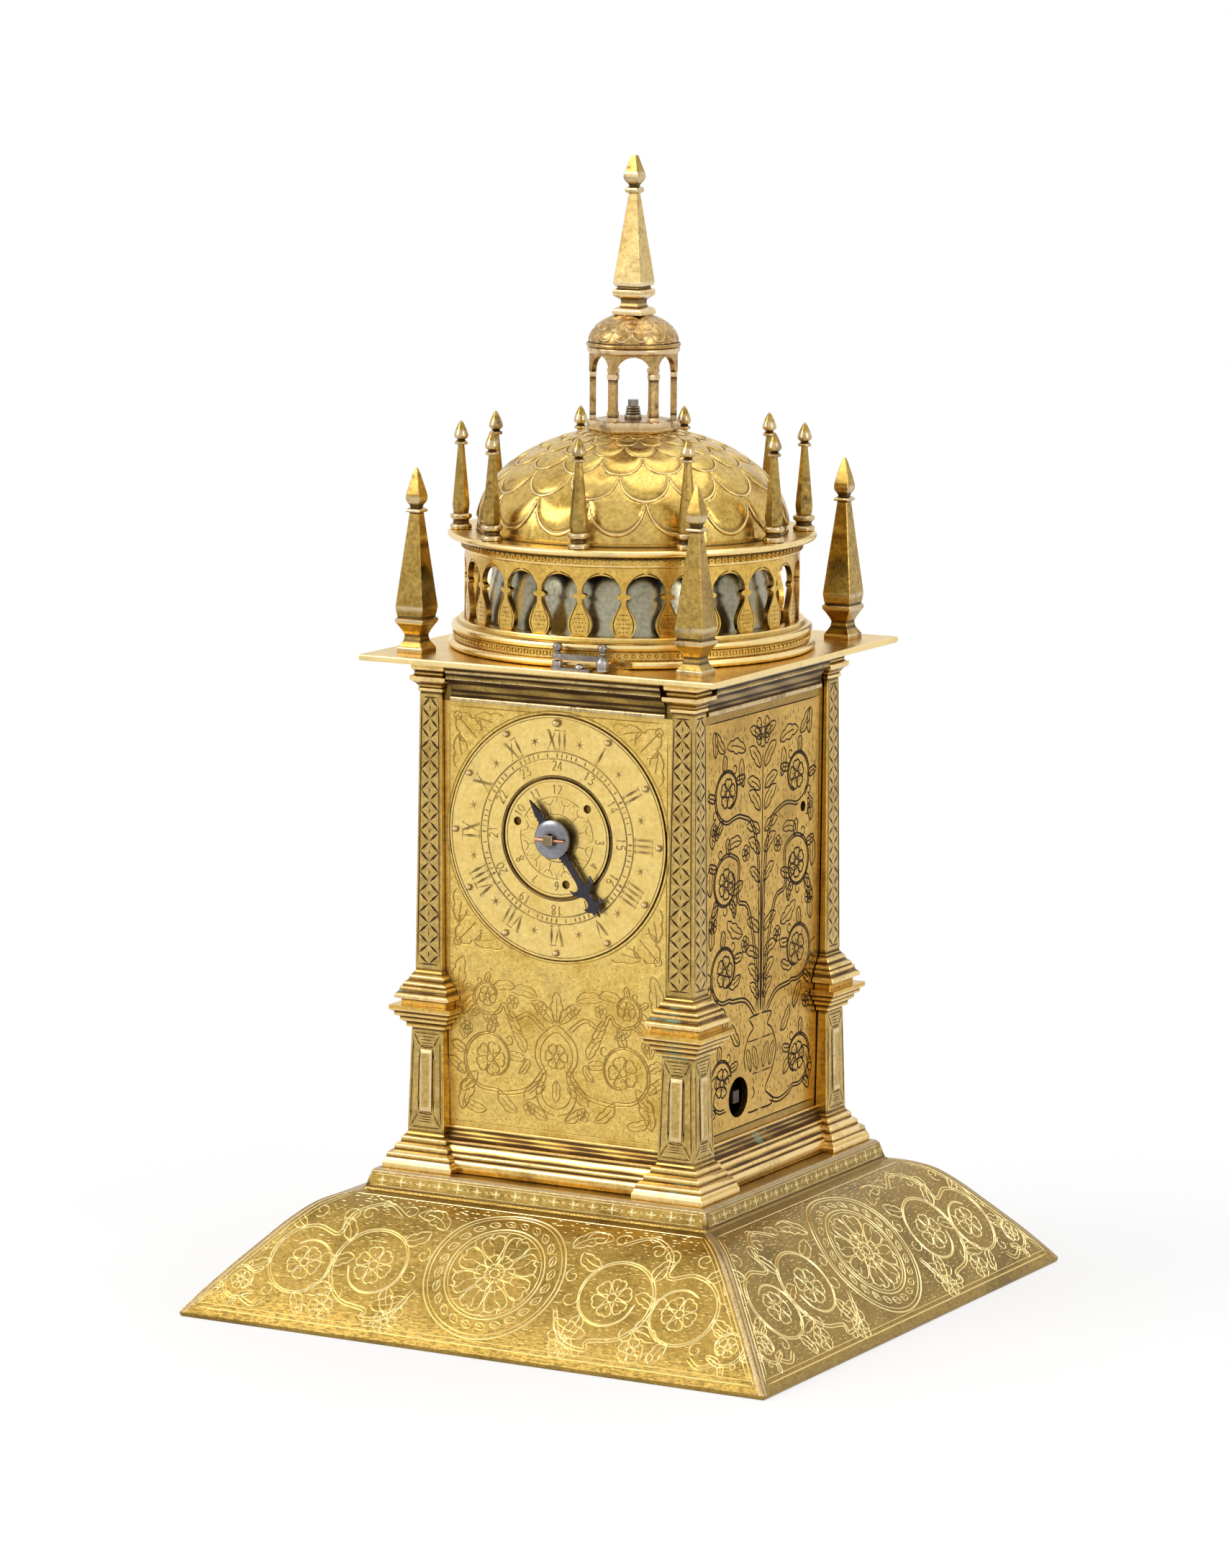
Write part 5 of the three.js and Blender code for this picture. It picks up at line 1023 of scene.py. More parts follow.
def frontOrnament():
    # Scrolls with flowers below the dial, heights counted from their foot, and leaves in its corners
    low, cy = 54.0, dialAt["z"]
    half = scroll([(3.0, 17), (9, 10), (17, 8)], 21.0, 17.5, 9.2, -105, 390, 5, 0.24)
    half += scroll([(3.5, 27), (9, 31), (14, 29)], 22.0, 35.0, 5.6, -160, 350, 5, 0.2)
    for row, thick in (((30, 2, 95, 13, 2.4, 40, 3), 0.2), ((29.5, 22, 100, 9, 2.0, -30, 2), 0.18),
            ((3.2, 12, -20, 9, 2.0, -40, 2), 0.2), ((10, 20, 80, 8, 1.7, -50, 2), 0.18),
            ((31, 34, 80, 12, 2.3, 35, 3), 0.18), ((1.0, 29, 62, 9.5, 1.9, -50, 2), 0.2)):
        half += leaf(*row, thick)
    small = ((12, 3, 20, 9, 50), (22, 3, -10, 8, 60), (12, 14, 150, 6, -60), (11, 25, 40, 8, 50),
        (29, 12, 60, 8, -50), (18, 27, 10, 7, 60), (6, 36, 30, 9, -50), (13, 38, 20, 8, -60), (30, 29, 110, 8, 50),
        (2.5, 2, 20, 8, 30))
    half += leaves([(x, v, heading, long, long * 0.2, curl, 2) for x, v, heading, long, curl in small], 0.19)
    for x, v in ((8.5, 4.5), (28.5, 25.5), (14.0, 34.0), (5.0, 33.0)):
        half += blossom(x, v, 1.9, 5, 12, 0.15)
    # a lobed shield of strapwork with a rose
    rim = [(0, 3), (4.5, 5), (6.4, 10), (4.4, 14.5), (6.6, 19), (6.0, 24), (2.6, 27.5), (0, 29)]
    field = [(0, 5), (3.2, 6.6), (4.7, 10), (3.2, 14.5), (5.0, 19), (4.5, 23), (2.0, 26), (0, 27)]
    half += [stroke(through(rim, 5), 0.24), stroke(through(field, 5), 0.18)]
    art = mirrored(half) + blossom(0, 20, 3.6, 6, 0, 0.2)
    art += leaf(0, 29.5, 90, 9, 2.0, 0, 3, 0.2) + leaf(0, 13.5, -90, 6.5, 1.4, 0, 2, 0.18)
    art = [s for s in lifted(art, low) if np.all(np.hypot(s[0][:, 0], s[0][:, 1] - cy) > 36.4)]
    corners = []
    cornerLeaves = ((32.0, 32.0, 225, 12.5, 4.2, 0, 3), (26.6, 31.4, 186, 15.0, 3.0, 20, 3),
        (31.4, 26.6, 264, 15.0, 3.0, -20, 3), (13.5, 32.4, 200, 6.0, 1.5, 0, 2), (32.4, 13.5, 250, 6.0, 1.5, 0, 2))
    for up in (1, -1):
        for x, y, heading, long, wide, curl, lobes in cornerLeaves:
            corners += leaf(x, cy + up * y, heading * up, long, wide, curl * up, lobes, 0.26)
        corners.append(ringStroke(31.6, cy + up * 31.6, 1.2, 0.2, 16))
    inCorner = lambda x, y: abs(x) < 33.3 and abs(y - cy) < 33.4 and math.hypot(x, y - cy) > 35.8
    art += trimmed(mirrored(corners), inCorner)
    inside = lambda x, y: abs(x) < 33 and 53.5 < y < 168 and math.hypot(x, y - cy) > 37
    art += dashes(art, inside, (-33, 53, 33, 168), 420, 21, 0.9, 0.12, 1.2)
    art += border([(-34.2, 52.8), (34.2, 52.8), (34.2, 169.4), (-34.2, 169.4)], 14, 0.16)
    return art + [ringStroke(0, cy, 35.1, 0.18, 90)]


def frontPanel():
    half, outline = case["half"], panelOutline(case["half"])
    sheet = engrave(outline, [(0.0, dialAt["z"], dialAt["recess"])], frontOrnament(), (), 0.14)
    dirtyEdges(sheet, 34.2, 52.8, 169.4)
    plain = engrave(outline, [(0.0, dialAt["z"], 2.2)], [])
    recess = sheetPart(plain, panelPlace(0, half - dialAt["recessDeep"]), 0.5)
    # the recess floor is drawn fully dark: painted shade in the narrow groove round the chapter ring
    recess = (*recess[:2], [1.0] * len(recess[0]), *recess[3:])
    inner = sheetPart(plain, panelPlace(0, half - case["sheet"]), 0.0)
    parts = [sheetPart(sheet, panelPlace(0, half), 0.85), recess, inner]
    return dress(joinParts("frontPanel", parts, giltPanel, 13), "case", "gilt_brass", "front_panel")


frontPanel()
print("case panels engraved")


# Dial: hours in two rings, stars at the half hours and touch pins
dial = {"ring": 33.9, "ringInner": 17.0, "face": 41.9, "numeralFoot": 24.6, "numeralTall": 5.3, "smallFoot": 18.7,
        "smallTall": 2.7, "pinAt": 32.0, "disc": 16.3, "discFace": 41.86}
# Each letter: its width, its lines with their thickness, where its serifs sit, and how far they reach
romanLetters = {
    "I": (0.34, [((0, 0), (0, 1), 0.44)], [(0, 0), (0, 1)], (0.7, 0.75)),
    "V": (0.62, [((-0.38, 1), (0, 0), 0.44), ((0.38, 1), (0, 0), 0.24)], [(-0.38, 1), (0.38, 1)], (0.6, 0.6)),
    "X": (0.62, [((-0.38, 1), (0.38, 0), 0.44), ((0.38, 1), (-0.38, 0), 0.24)],
          [(-0.38, 0), (-0.38, 1), (0.38, 0), (0.38, 1)], (0.6, 0.6)),
}
digitLines = {
    "0": [[(0.25, 0), (0.02, 0.3), (0.02, 0.7), (0.25, 1), (0.48, 0.7), (0.48, 0.3), (0.25, 0)]],
    "1": [[(0.08, 0.78), (0.25, 1), (0.25, 0.5), (0.25, 0)]],
    "2": [[(0.04, 0.85), (0.25, 1), (0.46, 0.85), (0.4, 0.55), (0.04, 0)], [(0.04, 0), (0.26, 0.04), (0.5, 0)]],
    "3": [[(0.04, 0.9), (0.3, 1), (0.45, 0.78), (0.2, 0.54)],
        [(0.2, 0.54), (0.48, 0.38), (0.42, 0.08), (0.18, 0), (0.02, 0.12)]],
    "4": [[(0.36, 0), (0.36, 0.5), (0.36, 1)], [(0.36, 1), (0.16, 0.6), (0.0, 0.3)],
        [(0.0, 0.3), (0.25, 0.3), (0.5, 0.3)]],
    "5": [[(0.45, 1), (0.28, 1), (0.1, 1)], [(0.1, 1), (0.08, 0.75), (0.06, 0.56)],
        [(0.06, 0.56), (0.34, 0.6), (0.46, 0.3), (0.3, 0.02), (0.04, 0.08)]],
    "6": [[(0.42, 0.98), (0.14, 0.68), (0.05, 0.3), (0.24, 0), (0.45, 0.22), (0.3, 0.5), (0.07, 0.36)]],
    "7": [[(0.02, 1), (0.25, 1), (0.48, 1)], [(0.48, 1), (0.28, 0.5), (0.18, 0)]],
    "8": [[(0.25, 0.53), (0.06, 0.75), (0.25, 1), (0.44, 0.75), (0.25, 0.53), (0.03, 0.25), (0.25, 0), (0.47, 0.25),
        (0.25, 0.53)]],
    "9": [[(0.43, 0.66), (0.22, 0.5), (0.06, 0.74), (0.25, 1), (0.45, 0.7), (0.38, 0.3), (0.12, 0)]],
}


def onRing(points, hourTurn, footAt):
    # Local (across, outward) points set at a clock angle
    a = math.radians(hourTurn)
    out = []
    for x, y in points:
        r = footAt + y
        out.append((r * math.sin(a) + x * math.cos(a), dialAt["z"] + r * math.cos(a) - x * math.sin(a)))
    return out


def romanStrokes(text, hourTurn):
    tall, footAt = dial["numeralTall"], dial["numeralFoot"]
    scale = tall * 0.92
    at, art = -sum(romanLetters[c][0] for c in text) * scale / 2, []
    for c in text:
        width, lines, serifs, (left, right) = romanLetters[c]
        wide = width * scale
        mid = at + wide / 2
        for start, end, thick in lines:
            line = np.linspace(start, end, 3) * (wide, tall) + (mid, 0)
            art.append(stroke(onRing(line, hourTurn, footAt), thick))
        for x, y in serifs:
            x, y = mid + x * wide, y * tall
            art.append(stroke(onRing([(x - left, y), (x, y), (x + right, y)], hourTurn, footAt), 0.17))
        at += wide
    return art


def digitStrokes(text, hourTurn, footAt, tall, wide=0.19):
    art = []
    pitch = 0.66 * tall
    at = -pitch * len(text) / 2 + 0.08 * tall
    for c in text:
        for line in digitLines[c]:
            smooth = through([(at + x * tall, y * tall) for x, y in line], 4)
            art.append(stroke(onRing(smooth, hourTurn, footAt), wide))
        at += pitch
    return art


def chapterStrokes():
    art = [ringStroke(0, dialAt["z"], r, w, 96) for r, w in ((33.3, 0.16), (24.0, 0.24), (21.9, 0.24))]
    names = ["XII", "I", "II", "III", "IIII", "V", "VI", "VII", "VIII", "IX", "X", "XI"]
    for hour, name in enumerate(names):
        art += romanStrokes(name, hour * 30)
        art += digitStrokes(str(24 if hour == 0 else hour + 12), hour * 30, dial["smallFoot"], dial["smallTall"])
        for spoke in (30, 90, 150):
            a, reach = math.radians(spoke), 1.6
            dx, dy = reach * math.cos(a), reach * math.sin(a)
            star = onRing([(-dx, 2.6 - dy), (0, 2.6), (dx, 2.6 + dy)], hour * 30 + 15, dial["numeralFoot"])
            art.append(stroke(star, 0.25))
    for mark in range(96):
        if mark % 2 == 0 or mark % 8 < 4:
            tick = onRing([(0, -0.05), (0, 0.95), (0, 1.95)], mark * 3.75, 22.0)
            art.append(stroke(tick, 0.24 if mark % 8 else 0.36))
    return art


def ringSheet(outer, holes, strokes, faceAt, skirt, count):
    turns = np.linspace(0, 2 * math.pi, count, endpoint=False)
    outline = [(outer * math.cos(t), dialAt["z"] + outer * math.sin(t)) for t in turns]
    # its skirt edges are drawn fully dark: painted shadow in the gaps round the chapter ring and the alarm disc
    return sheetPart(engrave(outline, holes, strokes, (), 0.1), panelPlace(0, faceAt), skirt, 1.0)


def chapterRing():
    inner = dial["ringInner"]
    # a thin fully dark ring on the inner edge is painted shadow in the gap round the alarm disc
    shade = lathe([(inner + 0.02, 0.0, 1.0), (inner + 0.5, 0.04, 1.0), (inner + 0.62, -0.03, 0.6)], 96)
    ring = ringSheet(dial["ring"], [(0.0, dialAt["z"], inner)], chapterStrokes(), dial["face"], 1.0, 128)
    piece = joinParts("chapterRing", [ring, laidAlongY(shade, 0, -dial["face"], dialAt["z"])], dialGilt, 13)
    return dress(piece, "case", "dial_gilt", "chapter_ring")


def touchPins():
    ball = [(0.0, 0.0, 0), (1.0, 0.0, 1.0), (1.02, 0.12, 0.9), (0.62, 0.3, 0.6), (0.8, 0.6, 0), (0.84, 0.85, 0),
            (0.66, 1.2, -0.5), (0.3, 1.42, -0.8), (0.0, 1.46, -0.8)]
    parts = []
    for hour in range(12):
        (x, z), = onRing([(0, 0)], hour * 30, dial["pinAt"])
        size = 1.25 if hour == 0 else 1.0
        pin = lathe([(r * size, height * size, held) for r, height, held in ball], 12)
        parts.append(laidAlongY(pin, x, -dial["face"] + 0.05, z))
    return dress(joinParts("touchPins", parts, wheelBrass), "case", "dial_gilt")


def alarmDiscPiece():
    art = [ringStroke(0, dialAt["z"], r, w, 72) for r, w in ((15.7, 0.16), (11.4, 0.16), (6.6, 0.16))]
    for hour in (12, 3, 4, 6, 7, 8, 10, 11):
        art += digitStrokes(str(hour), hour % 12 * 30, 12.2, 2.5, 0.18)
    for turn in range(0, 360, 30):
        art.append(stroke(onRing([(-1.7, 0), (0, 4.2), (1.7, 0)], turn, 6.9), 0.18))
        art.append(stroke(onRing([(0, 0.2), (0, 1.6), (0, 3.0)], turn + 15, 6.9), 0.14))
        arch = through([(-1.6, 3.9), (-0.6, 2.6), (0.6, 2.6), (1.6, 3.9)], 3)
        art.append(stroke(onRing(arch, turn + 15, 6.9), 0.13))
    holes = [(*onRing([(0, 0)], turn, 13)[0], 1.2) for turn in (47, 167, 287)]
    art = clipped(art, [(x, z, 1.9) for x, z, r in holes])
    part = ringSheet(dial["disc"], holes + [(0.0, dialAt["z"], 2.0)], art, dial["discFace"], 0.65, 96)
    return dress(joinParts("alarmDisc", [part], dialGilt, 13), "alarm_disc", "dial_gilt", "alarm_disc")


hand = {"turn": 144.0, "back": 43.4, "thick": 0.85, "long": 25.1, "tail": 12.7}


def handOutline():
    right = [(4.6, 0.0), (4.2, 1.9), (3.1, 3.5), (1.9, 4.4), (1.9, 5.0), (1.35, 5.1), (1.7, 5.6), (1.25, 6.0),
        (1.55, 6.6), (1.1, 7.1), (1.35, 7.6), (0.95, 8.1), (0.95, 8.9), (0.95, 13.5), (1.3, 15.2), (2.3, 15.7),
        (3.2, 15.2), (3.9, 14.2), (3.7, 15.9), (2.8, 17.2), (1.6, 17.9), (1.1, 18.6), (1.1, 20.2), (1.6, 20.9),
        (2.4, 21.2), (3.1, 20.8), (2.7, 22.1), (1.8, 22.8), (1.2, 23.0), (1.1, 24.0), (0.35, 23.4)]
    tail = [(-4.6, 0.0), (-4.2, -1.9), (-3.1, -3.5), (-1.7, -4.4), (-1.7, -4.9), (-1.2, -5.2), (-1.6, -5.8),
        (-1.1, -6.3), (-1.4, -6.9), (-1.0, -7.3), (-1.3, -7.9), (-0.7, -10.4)]
    return right + [(0.0, hand["long"])] + flipped(right[1:]) + tail + [(0.0, -hand["tail"])] + flipped(tail[1:])


def handPiece():
    outline = handOutline()
    spun = onRing(outline, hand["turn"], 0.0)
    spine = onRing([(0.0, y) for x, y in outline], hand["turn"], 0.0)
    count = len(spun)
    verts = []
    for shrink, deep in ((0.0, 0.0), (0.0, 0.65), (0.22, 1.0)):
        for (x, z), (cx, cz), (ox, oy) in zip(spun, spine, outline):
            lean = shrink / max(math.hypot(x - cx, z - cz), 1e-6) if abs(ox) > 0.3 else 0
            verts.append((x - (x - cx) * lean, -(hand["back"] + hand["thick"] * deep), z - (z - cz) * lean))
    faces = strips(3, count) + [tuple(range(count)), tuple(range(2 * count, 3 * count))]
    piece = joinParts("hourHand", [(verts, faces, [0.0] * len(verts))], blued, 30)
    return dress(piece, "hour_work", "blued_steel", "hour_hand")


def colletPiece():
    profile = [(0, 0, 0), (5.4, 0, 0.8), (5.4, 0.7, 0.4), (5.1, 0.95, 0), (4.0, 1.2, 0), (2.9, 1.35, 0),
        (2.2, 1.4, 0.6), (0, 1.4, 0.8)]
    disc = laidAlongY(lathe(profile, 48), 0, -44.2, dialAt["z"])
    dress(joinParts("handCollet", [disc], paleSteel), "hour_work", "blued_steel", "hand_collet")
    half = 1.42
    end = loft(soften([(half, 0), (half, 1.75), (half * 0.8, 2.05)], 0.1), lambda h: squareSection(h, 0.15))
    square = laidAlongY(end, 0, -45.5, dialAt["z"])
    dress(joinParts("arborEnd", [square], bronze), "hour_work", "forged_steel")
    pin = laidAlongX(lathe([(0, -4.9), (0.62, -4.8), (0.4, 4.3), (0, 4.4)], 12), 0.4, -46.3, dialAt["z"])
    dress(joinParts("taperPin", [pin], copperPin), "hour_work", "forged_steel")


def recoat(material, *names):
    # Solids that keep their own mesh get their metal
    for name in names:
        nodes[name].data.materials.clear()
        nodes[name].data.materials.append(material)


chapterRing()
touchPins()
alarmDiscPiece()
handPiece()
colletPiece()
recoat(wheelBrass, "hour_arbor")
print("dial set")


# Gallery plate with its corner obelisks
def galleryPlate():
    bore, sides = 40.0, 64
    shell = soften([(40.6, 182.0), (55.0, 182.0), (55.3, 182.4), (55.3, 183.5), (55.0, 183.8), (40.6, 183.8)], 0.15)
    verts = []
    for half, z, dirtAndShade in shell:
        for i in range(sides):
            a = 2 * math.pi * i / sides
            verts.append(onRound(bore if half < 41 else half / max(abs(math.sin(a)), abs(math.cos(a))), a, z))
    patinaAndShade = [dirtAndShade for half, z, dirtAndShade in shell for i in range(sides)]
    part = (verts, strips(len(shell), sides, loop=True), patinaAndShade)
    return dress(joinParts("galleryPlate", [part], giltBright, 30), "case", "gilt_brass", "gallery_plate")


galleryPlate()
obeliskProfile = [(4.0, 0.0), (4.0, 1.4), (3.7, 1.8), (3.4, 2.3), (2.7, 3.4), (2.45, 4.9), (2.9, 6.0), (3.9, 7.8),
    (4.35, 8.4), (4.45, 8.8), (4.45, 9.4), (3.9, 9.8), (3.9, 10.1), (4.05, 10.6), (4.35, 12.6), (1.55, 38.3),
    (1.5, 38.7), (2.2, 38.95), (2.35, 39.3), (2.2, 39.7), (1.3, 40.2), (1.5, 40.9), (2.1, 41.8), (2.3, 42.7),
    (2.2, 43.8), (1.5, 46.9), (0.8, 49.6), (0.25, 51.1)]
for name, sx, sy in (("front_left", -1, -1), ("front_right", 1, -1), ("rear_right", 1, 1), ("rear_left", -1, 1)):
    body = placed(loft(soften(obeliskProfile, 0.16), lambda h: squareSection(h, 0.22)), sx * 43.7, sy * 43.7,
        levels["plateTop"])
    dress(joinParts("obeliskDressed_" + name, [body], giltWorn, 26), "case", "gilt_brass", "obelisk_" + name)


# Bell drum: base ring, pierced arcade, cornice with a key pattern and spirelets
def drumBase():
    z = levels["plateTop"]
    outer = raised([(49.6, 0), (50.7, 0.3), (51.2, 1.0), (51.1, 1.7), (50.5, 2.2), (49.8, 2.4), (49.4, 2.5),
        (49.3, 4.6), (49.6, 4.8), (50.1, 5.1), (50.3, 5.8), (50.1, 6.5), (49.4, 6.9), (48.4, 7.0), (48.2, 7.3),
        (48.0, 8.25), (44.2, 8.3), (44.2, 0)], z)
    profile = [(r, height, min(held, 0.4)) for r, height, held in soften(outer, 0.12)]
    piece = joinParts("drumBaseRing", [lathe(profile, 180, loop=True)], giltBright)
    notch = joinParts("notchCutter", [block((19.2, -53.5, 182.0), (24.8, -44.6, z + 3.0))], gilt)
    cutting = piece.modifiers.new("notch", "BOOLEAN")
    cutting.operation = "DIFFERENCE"
    cutting.object = notch
    cutting.solver = "EXACT"
    settle(piece, 30)
    bpy.data.objects.remove(notch)
    dress(piece, "bell_housing", "gilt_brass", "drum_base_ring")
    stud = lathe([(0.0, -0.2, 0), (0.55, -0.2, 0.9), (0.58, 0.1, 0.5), (0.4, 0.4, 0), (0.0, 0.5, 0)], 8)
    bar = block((0.25, -0.35, -0.6), (0.75, 0.1, 0.6))
    bead = joinParts("beadPattern", [laidAlongY(stud, -0.65, 0, 0), bar], gilt)
    dress(roundRing("drumBeads", bead, 150, 49.45, z + 3.6, gilt), "bell_housing", "gilt_brass")


# One bay of the arcade, from the middle of a baluster outward
arcade = {"outer": 46.6, "thick": 1.6, "bays": 24, "neck": 0.62, "springAt": 12.3, "crown": 16.8, "high": 18.9}
baluster = [(2.15, 0.0), (2.3, 0.25), (2.95, 1.3), (3.35, 2.6), (3.4, 3.4), (3.15, 4.6), (2.5, 6.0), (1.7, 7.4),
    (1.05, 8.7), (0.72, 9.7), (0.7, 10.2), (1.5, 10.4), (1.9, 10.7), (1.9, 11.2), (1.5, 11.55), (0.75, 11.75),
    (arcade["neck"], arcade["springAt"])]


def insideOutline(outline, x, z):
    crossing = False
    for (x0, z0), (x1, z1) in zip(outline, outline[-1:] + outline[:-1]):
        if (z0 > z) != (z1 > z) and x < (x1 - x0) * (z - z0) / (z1 - z0) + x0:
            crossing = not crossing
    return crossing


def arcadePiece():
    # One bay drawn flat and bent round the drum, then set round the ring
    outer, springAt, high = arcade["outer"], arcade["springAt"], arcade["high"]
    half = math.pi * outer / arcade["bays"]

    def arch(first, slimmer=0.0, taller=0.0):
        wide, rise = half - arcade["neck"] - slimmer, arcade["crown"] + taller - springAt
        return [(half - wide * math.sin(t), springAt + rise * math.cos(t))
            for t in map(math.radians, range(first, -1, -6))]

    right = baluster + arch(78) + [(half + 0.01, arcade["crown"]), (half + 0.01, high)]
    loopLine = right + flipped(right)
    rim = [stroke([(x * 0.82 if z < 9.7 else x - 0.18, z + 0.15 if z < 1 else z) for x, z in right[1:10]], 0.16)]
    art = mirrored(rim + [stroke(arch(74, 0.55, 0.6), 0.16)])
    rng = random.Random(17)
    for row in range(5):
        for k in range(-2, 3):
            x, z = k * 0.9 + (0.45 if row % 2 else 0), 1.4 + row * 1.15
            if abs(x) < 2.2 - abs(z - 3.2) * 0.36:
                long = 0.28 + rng.uniform(0, 0.12)
                art.append(stroke([(x - long, z), (x, z), (x + long, z)], 0.14))
    sheet = engrave(loopLine, [], art, [np.array([(0, 0.1), (0, high - 0.1)])], 0.16)
    flat = sheet["flat"]
    kept = [i for i, face in enumerate(sheet["faces"]) if insideOutline(loopLine, *flat[face].mean(0))]
    sheet["faces"] = [sheet["faces"][i] for i in kept]
    sheet["shade"] = sheet["shade"][kept]
    place = lambda u, v, sunk: onRound(outer - sunk, u / outer, v)
    front = sheetPart(sheet, place, arcade["thick"])
    back = ([place(u, v, arcade["thick"]) for u, v in flat], sheet["faces"], [0.5] * len(flat))
    bay = joinParts("arcadeBay", [front, back], gilt, 30)
    ring = roundRing("drumArcade", bay, arcade["bays"], 0.0, levels["arcadeFoot"], gilt)
    dress(ring, "bell_housing", "gilt_brass", "drum_arcade")


def drumCornice():
    z = levels["flangeFoot"]
    outer = raised([(42.2, 0), (46.7, 0), (47.1, 0.3), (47.2, 2.6), (47.8, 2.9), (49.8, 3.2), (50.9, 3.5), (51.3, 4.1),
        (51.2, 4.7), (50.6, 5.1), (49.8, 5.2), (42.2, 5.2)], z)
    ring = lathe(soften(outer, 0.12), 180, loop=True)
    dress(joinParts("drumCornice", [ring], giltBright), "bell_housing", "gilt_brass", "drum_cornice")
    bars = ((-0.95, -0.7, -0.7, 0.7), (-0.95, 0.45, 0.35, 0.7), (0.1, -0.2, 0.35, 0.7), (-0.35, -0.2, 0.35, 0.02),
            (-0.95, -0.7, 0.95, -0.48))
    key = joinParts("keyPattern", [block((x0, -0.3, z0), (x1, 0.1, z1)) for x0, z0, x1, z1 in bars], gilt)
    dress(roundRing("keyBand", key, 144, 47.25, z + 1.5, gilt), "bell_housing", "gilt_brass")


def spirelets():
    rings = [(0, 0.0), (3.0, 0.1), (3.05, 0.9), (2.8, 1.3), (2.2, 1.7), (2.2, 2.5), (2.75, 2.9), (3.05, 3.3),
        (3.0, 4.0), (2.4, 4.4), (0, 4.4)]
    shaft = [(0, 4.0, 0), (2.1, 4.2, 0.8), (2.35, 5.2, 0.1), (2.55, 6.9, 0), (0.95, 23.4, 0.1), (0, 23.4, 0.2)]
    finial = [(0, 23.2), (1.0, 23.3), (1.85, 23.6), (1.9, 24.1), (1.3, 24.5), (1.0, 24.8), (1.5, 25.1), (1.95, 25.6),
              (2.0, 26.1), (1.7, 27.2), (0.9, 29.0), (0.25, 30.1), (0, 30.2)]
    parts = [lathe(soften(rings, 0.15), 20), lathe(shaft, 8, 22.5), lathe(soften(finial, 0.1), 16)]
    one = joinParts("spireletPattern", parts, giltWorn, 26)
    ring = roundRing("spirelets", one, 10, 47.6, levels["flangeTop"], giltWorn)
    dress(ring, "bell_housing", "gilt_brass", *["spirelet_%02d" % i for i in range(1, 11)])


drumBase()
arcadePiece()
drumCornice()
spirelets()
print("drum built")


# Dome: sheets of scales beaten up from behind, largest at the foot
dome = {"radius": 43.4, "rise": 27.9, "foot": 217.2, "around": 16, "relief": 0.7, "wall": 1.4}


def unevenScale(number, row, around):
    return 0.05 * math.sin(7.3 * (number % around) + 2.1 * row)


# Across the rim of a scale: how far in, how high, and its dirt, which at the rim's foot is also painted shade
rimProfile = ((-0.2, -0.3, 1.0), (0.0, 0.55, 0.2), (0.3, 1.0, -0.9), (0.7, 0.95, -0.6), (1.0, 0.3, 0.5),
    (1.15, -0.4, 1.0))


def scaleRims(rowsAt, around, surface, broad, tall):
    # A thin raised band along the lower edge of every scale
    verts, faces, wearAndShade = [], [], []
    pitch = 2 * math.pi / around
    turns = np.radians(np.linspace(-86, 86, 25))
    for k in range(len(rowsAt) - 2):
        high = rowsAt[k + 1] - rowsAt[k]
        size = high / (rowsAt[1] - rowsAt[0])
        for number in range(around):
            faces += strips(len(turns), len(rimProfile), closed=False, first=len(verts))
            for turn in turns:
                taper = math.cos(turn) ** 0.3
                for across, out, dirtAndShade in rimProfile:
                    reach = 1.0 - across * broad * size * taper / high
                    theta = (number + (reach * math.sin(turn) + 1) / 2 - (0.5 if k % 2 else 0)) * pitch
                    s = rowsAt[k] + high * (unevenScale(number, k, around) + 1 - reach * math.cos(turn))
                    verts.append(surface(theta, s, out * tall * size * taper))
                    wearAndShade.append(dirtAndShade)
    return verts, faces, wearAndShade


def scaleRelief(theta, s, rowsAt, around, relief):
    # Height and dirt of the overlapping scales at an angle and a distance up from the foot; the dirt along each lower
    # edge is also painted shade
    height, dirtAndShade = 0.0, 0.0
    pitch = 2 * math.pi / around
    for k in range(len(rowsAt) - 1):
        tall = rowsAt[k + 1] - rowsAt[k]
        place = (theta + (0.5 * pitch if k % 2 else 0)) / pitch
        phase = (place % 1) * 2 - 1
        wobble = unevenScale(math.floor(place), k, around)
        d = s - rowsAt[k] - tall * (wobble + 1 - math.sqrt(max(0.0, 1 - phase * phase)))
        if d < 0:
            break
        share = d / tall
        valley = math.exp(-((share - 0.14) / 0.05) ** 2) * 0.35
        body = (1 - math.exp(-share / 0.03)) * (0.35 + 0.65 * math.exp(-((share - 0.55) / 0.4) ** 2))
        height = relief * tall / (rowsAt[1] - rowsAt[0]) * (body - valley)
        # darkest at each scale's lower edge and in the groove just above it: dirt and painted shade in the step between
        # scales
        dirtAndShade = min(1.0, math.exp(-share / 0.03) + 0.75 * math.exp(-((share - 0.13) / 0.04) ** 2))
    return height, dirtAndShade


def scaleSheet(stations, along, sides, lift):
    # Rings of points all round; lift(t, s, theta) gives their radius, height and dirt, which carries painted shade
    verts, patinaAndShade = [], []
    for t, s in zip(stations, along):
        for i in range(sides):
            theta = 2 * math.pi * i / sides
            r, z, dirtAndShade = lift(t, s, theta)
            verts.append(onRound(r, theta, z))
            patinaAndShade.append(dirtAndShade)
    return verts, strips(len(stations), sides), patinaAndShade


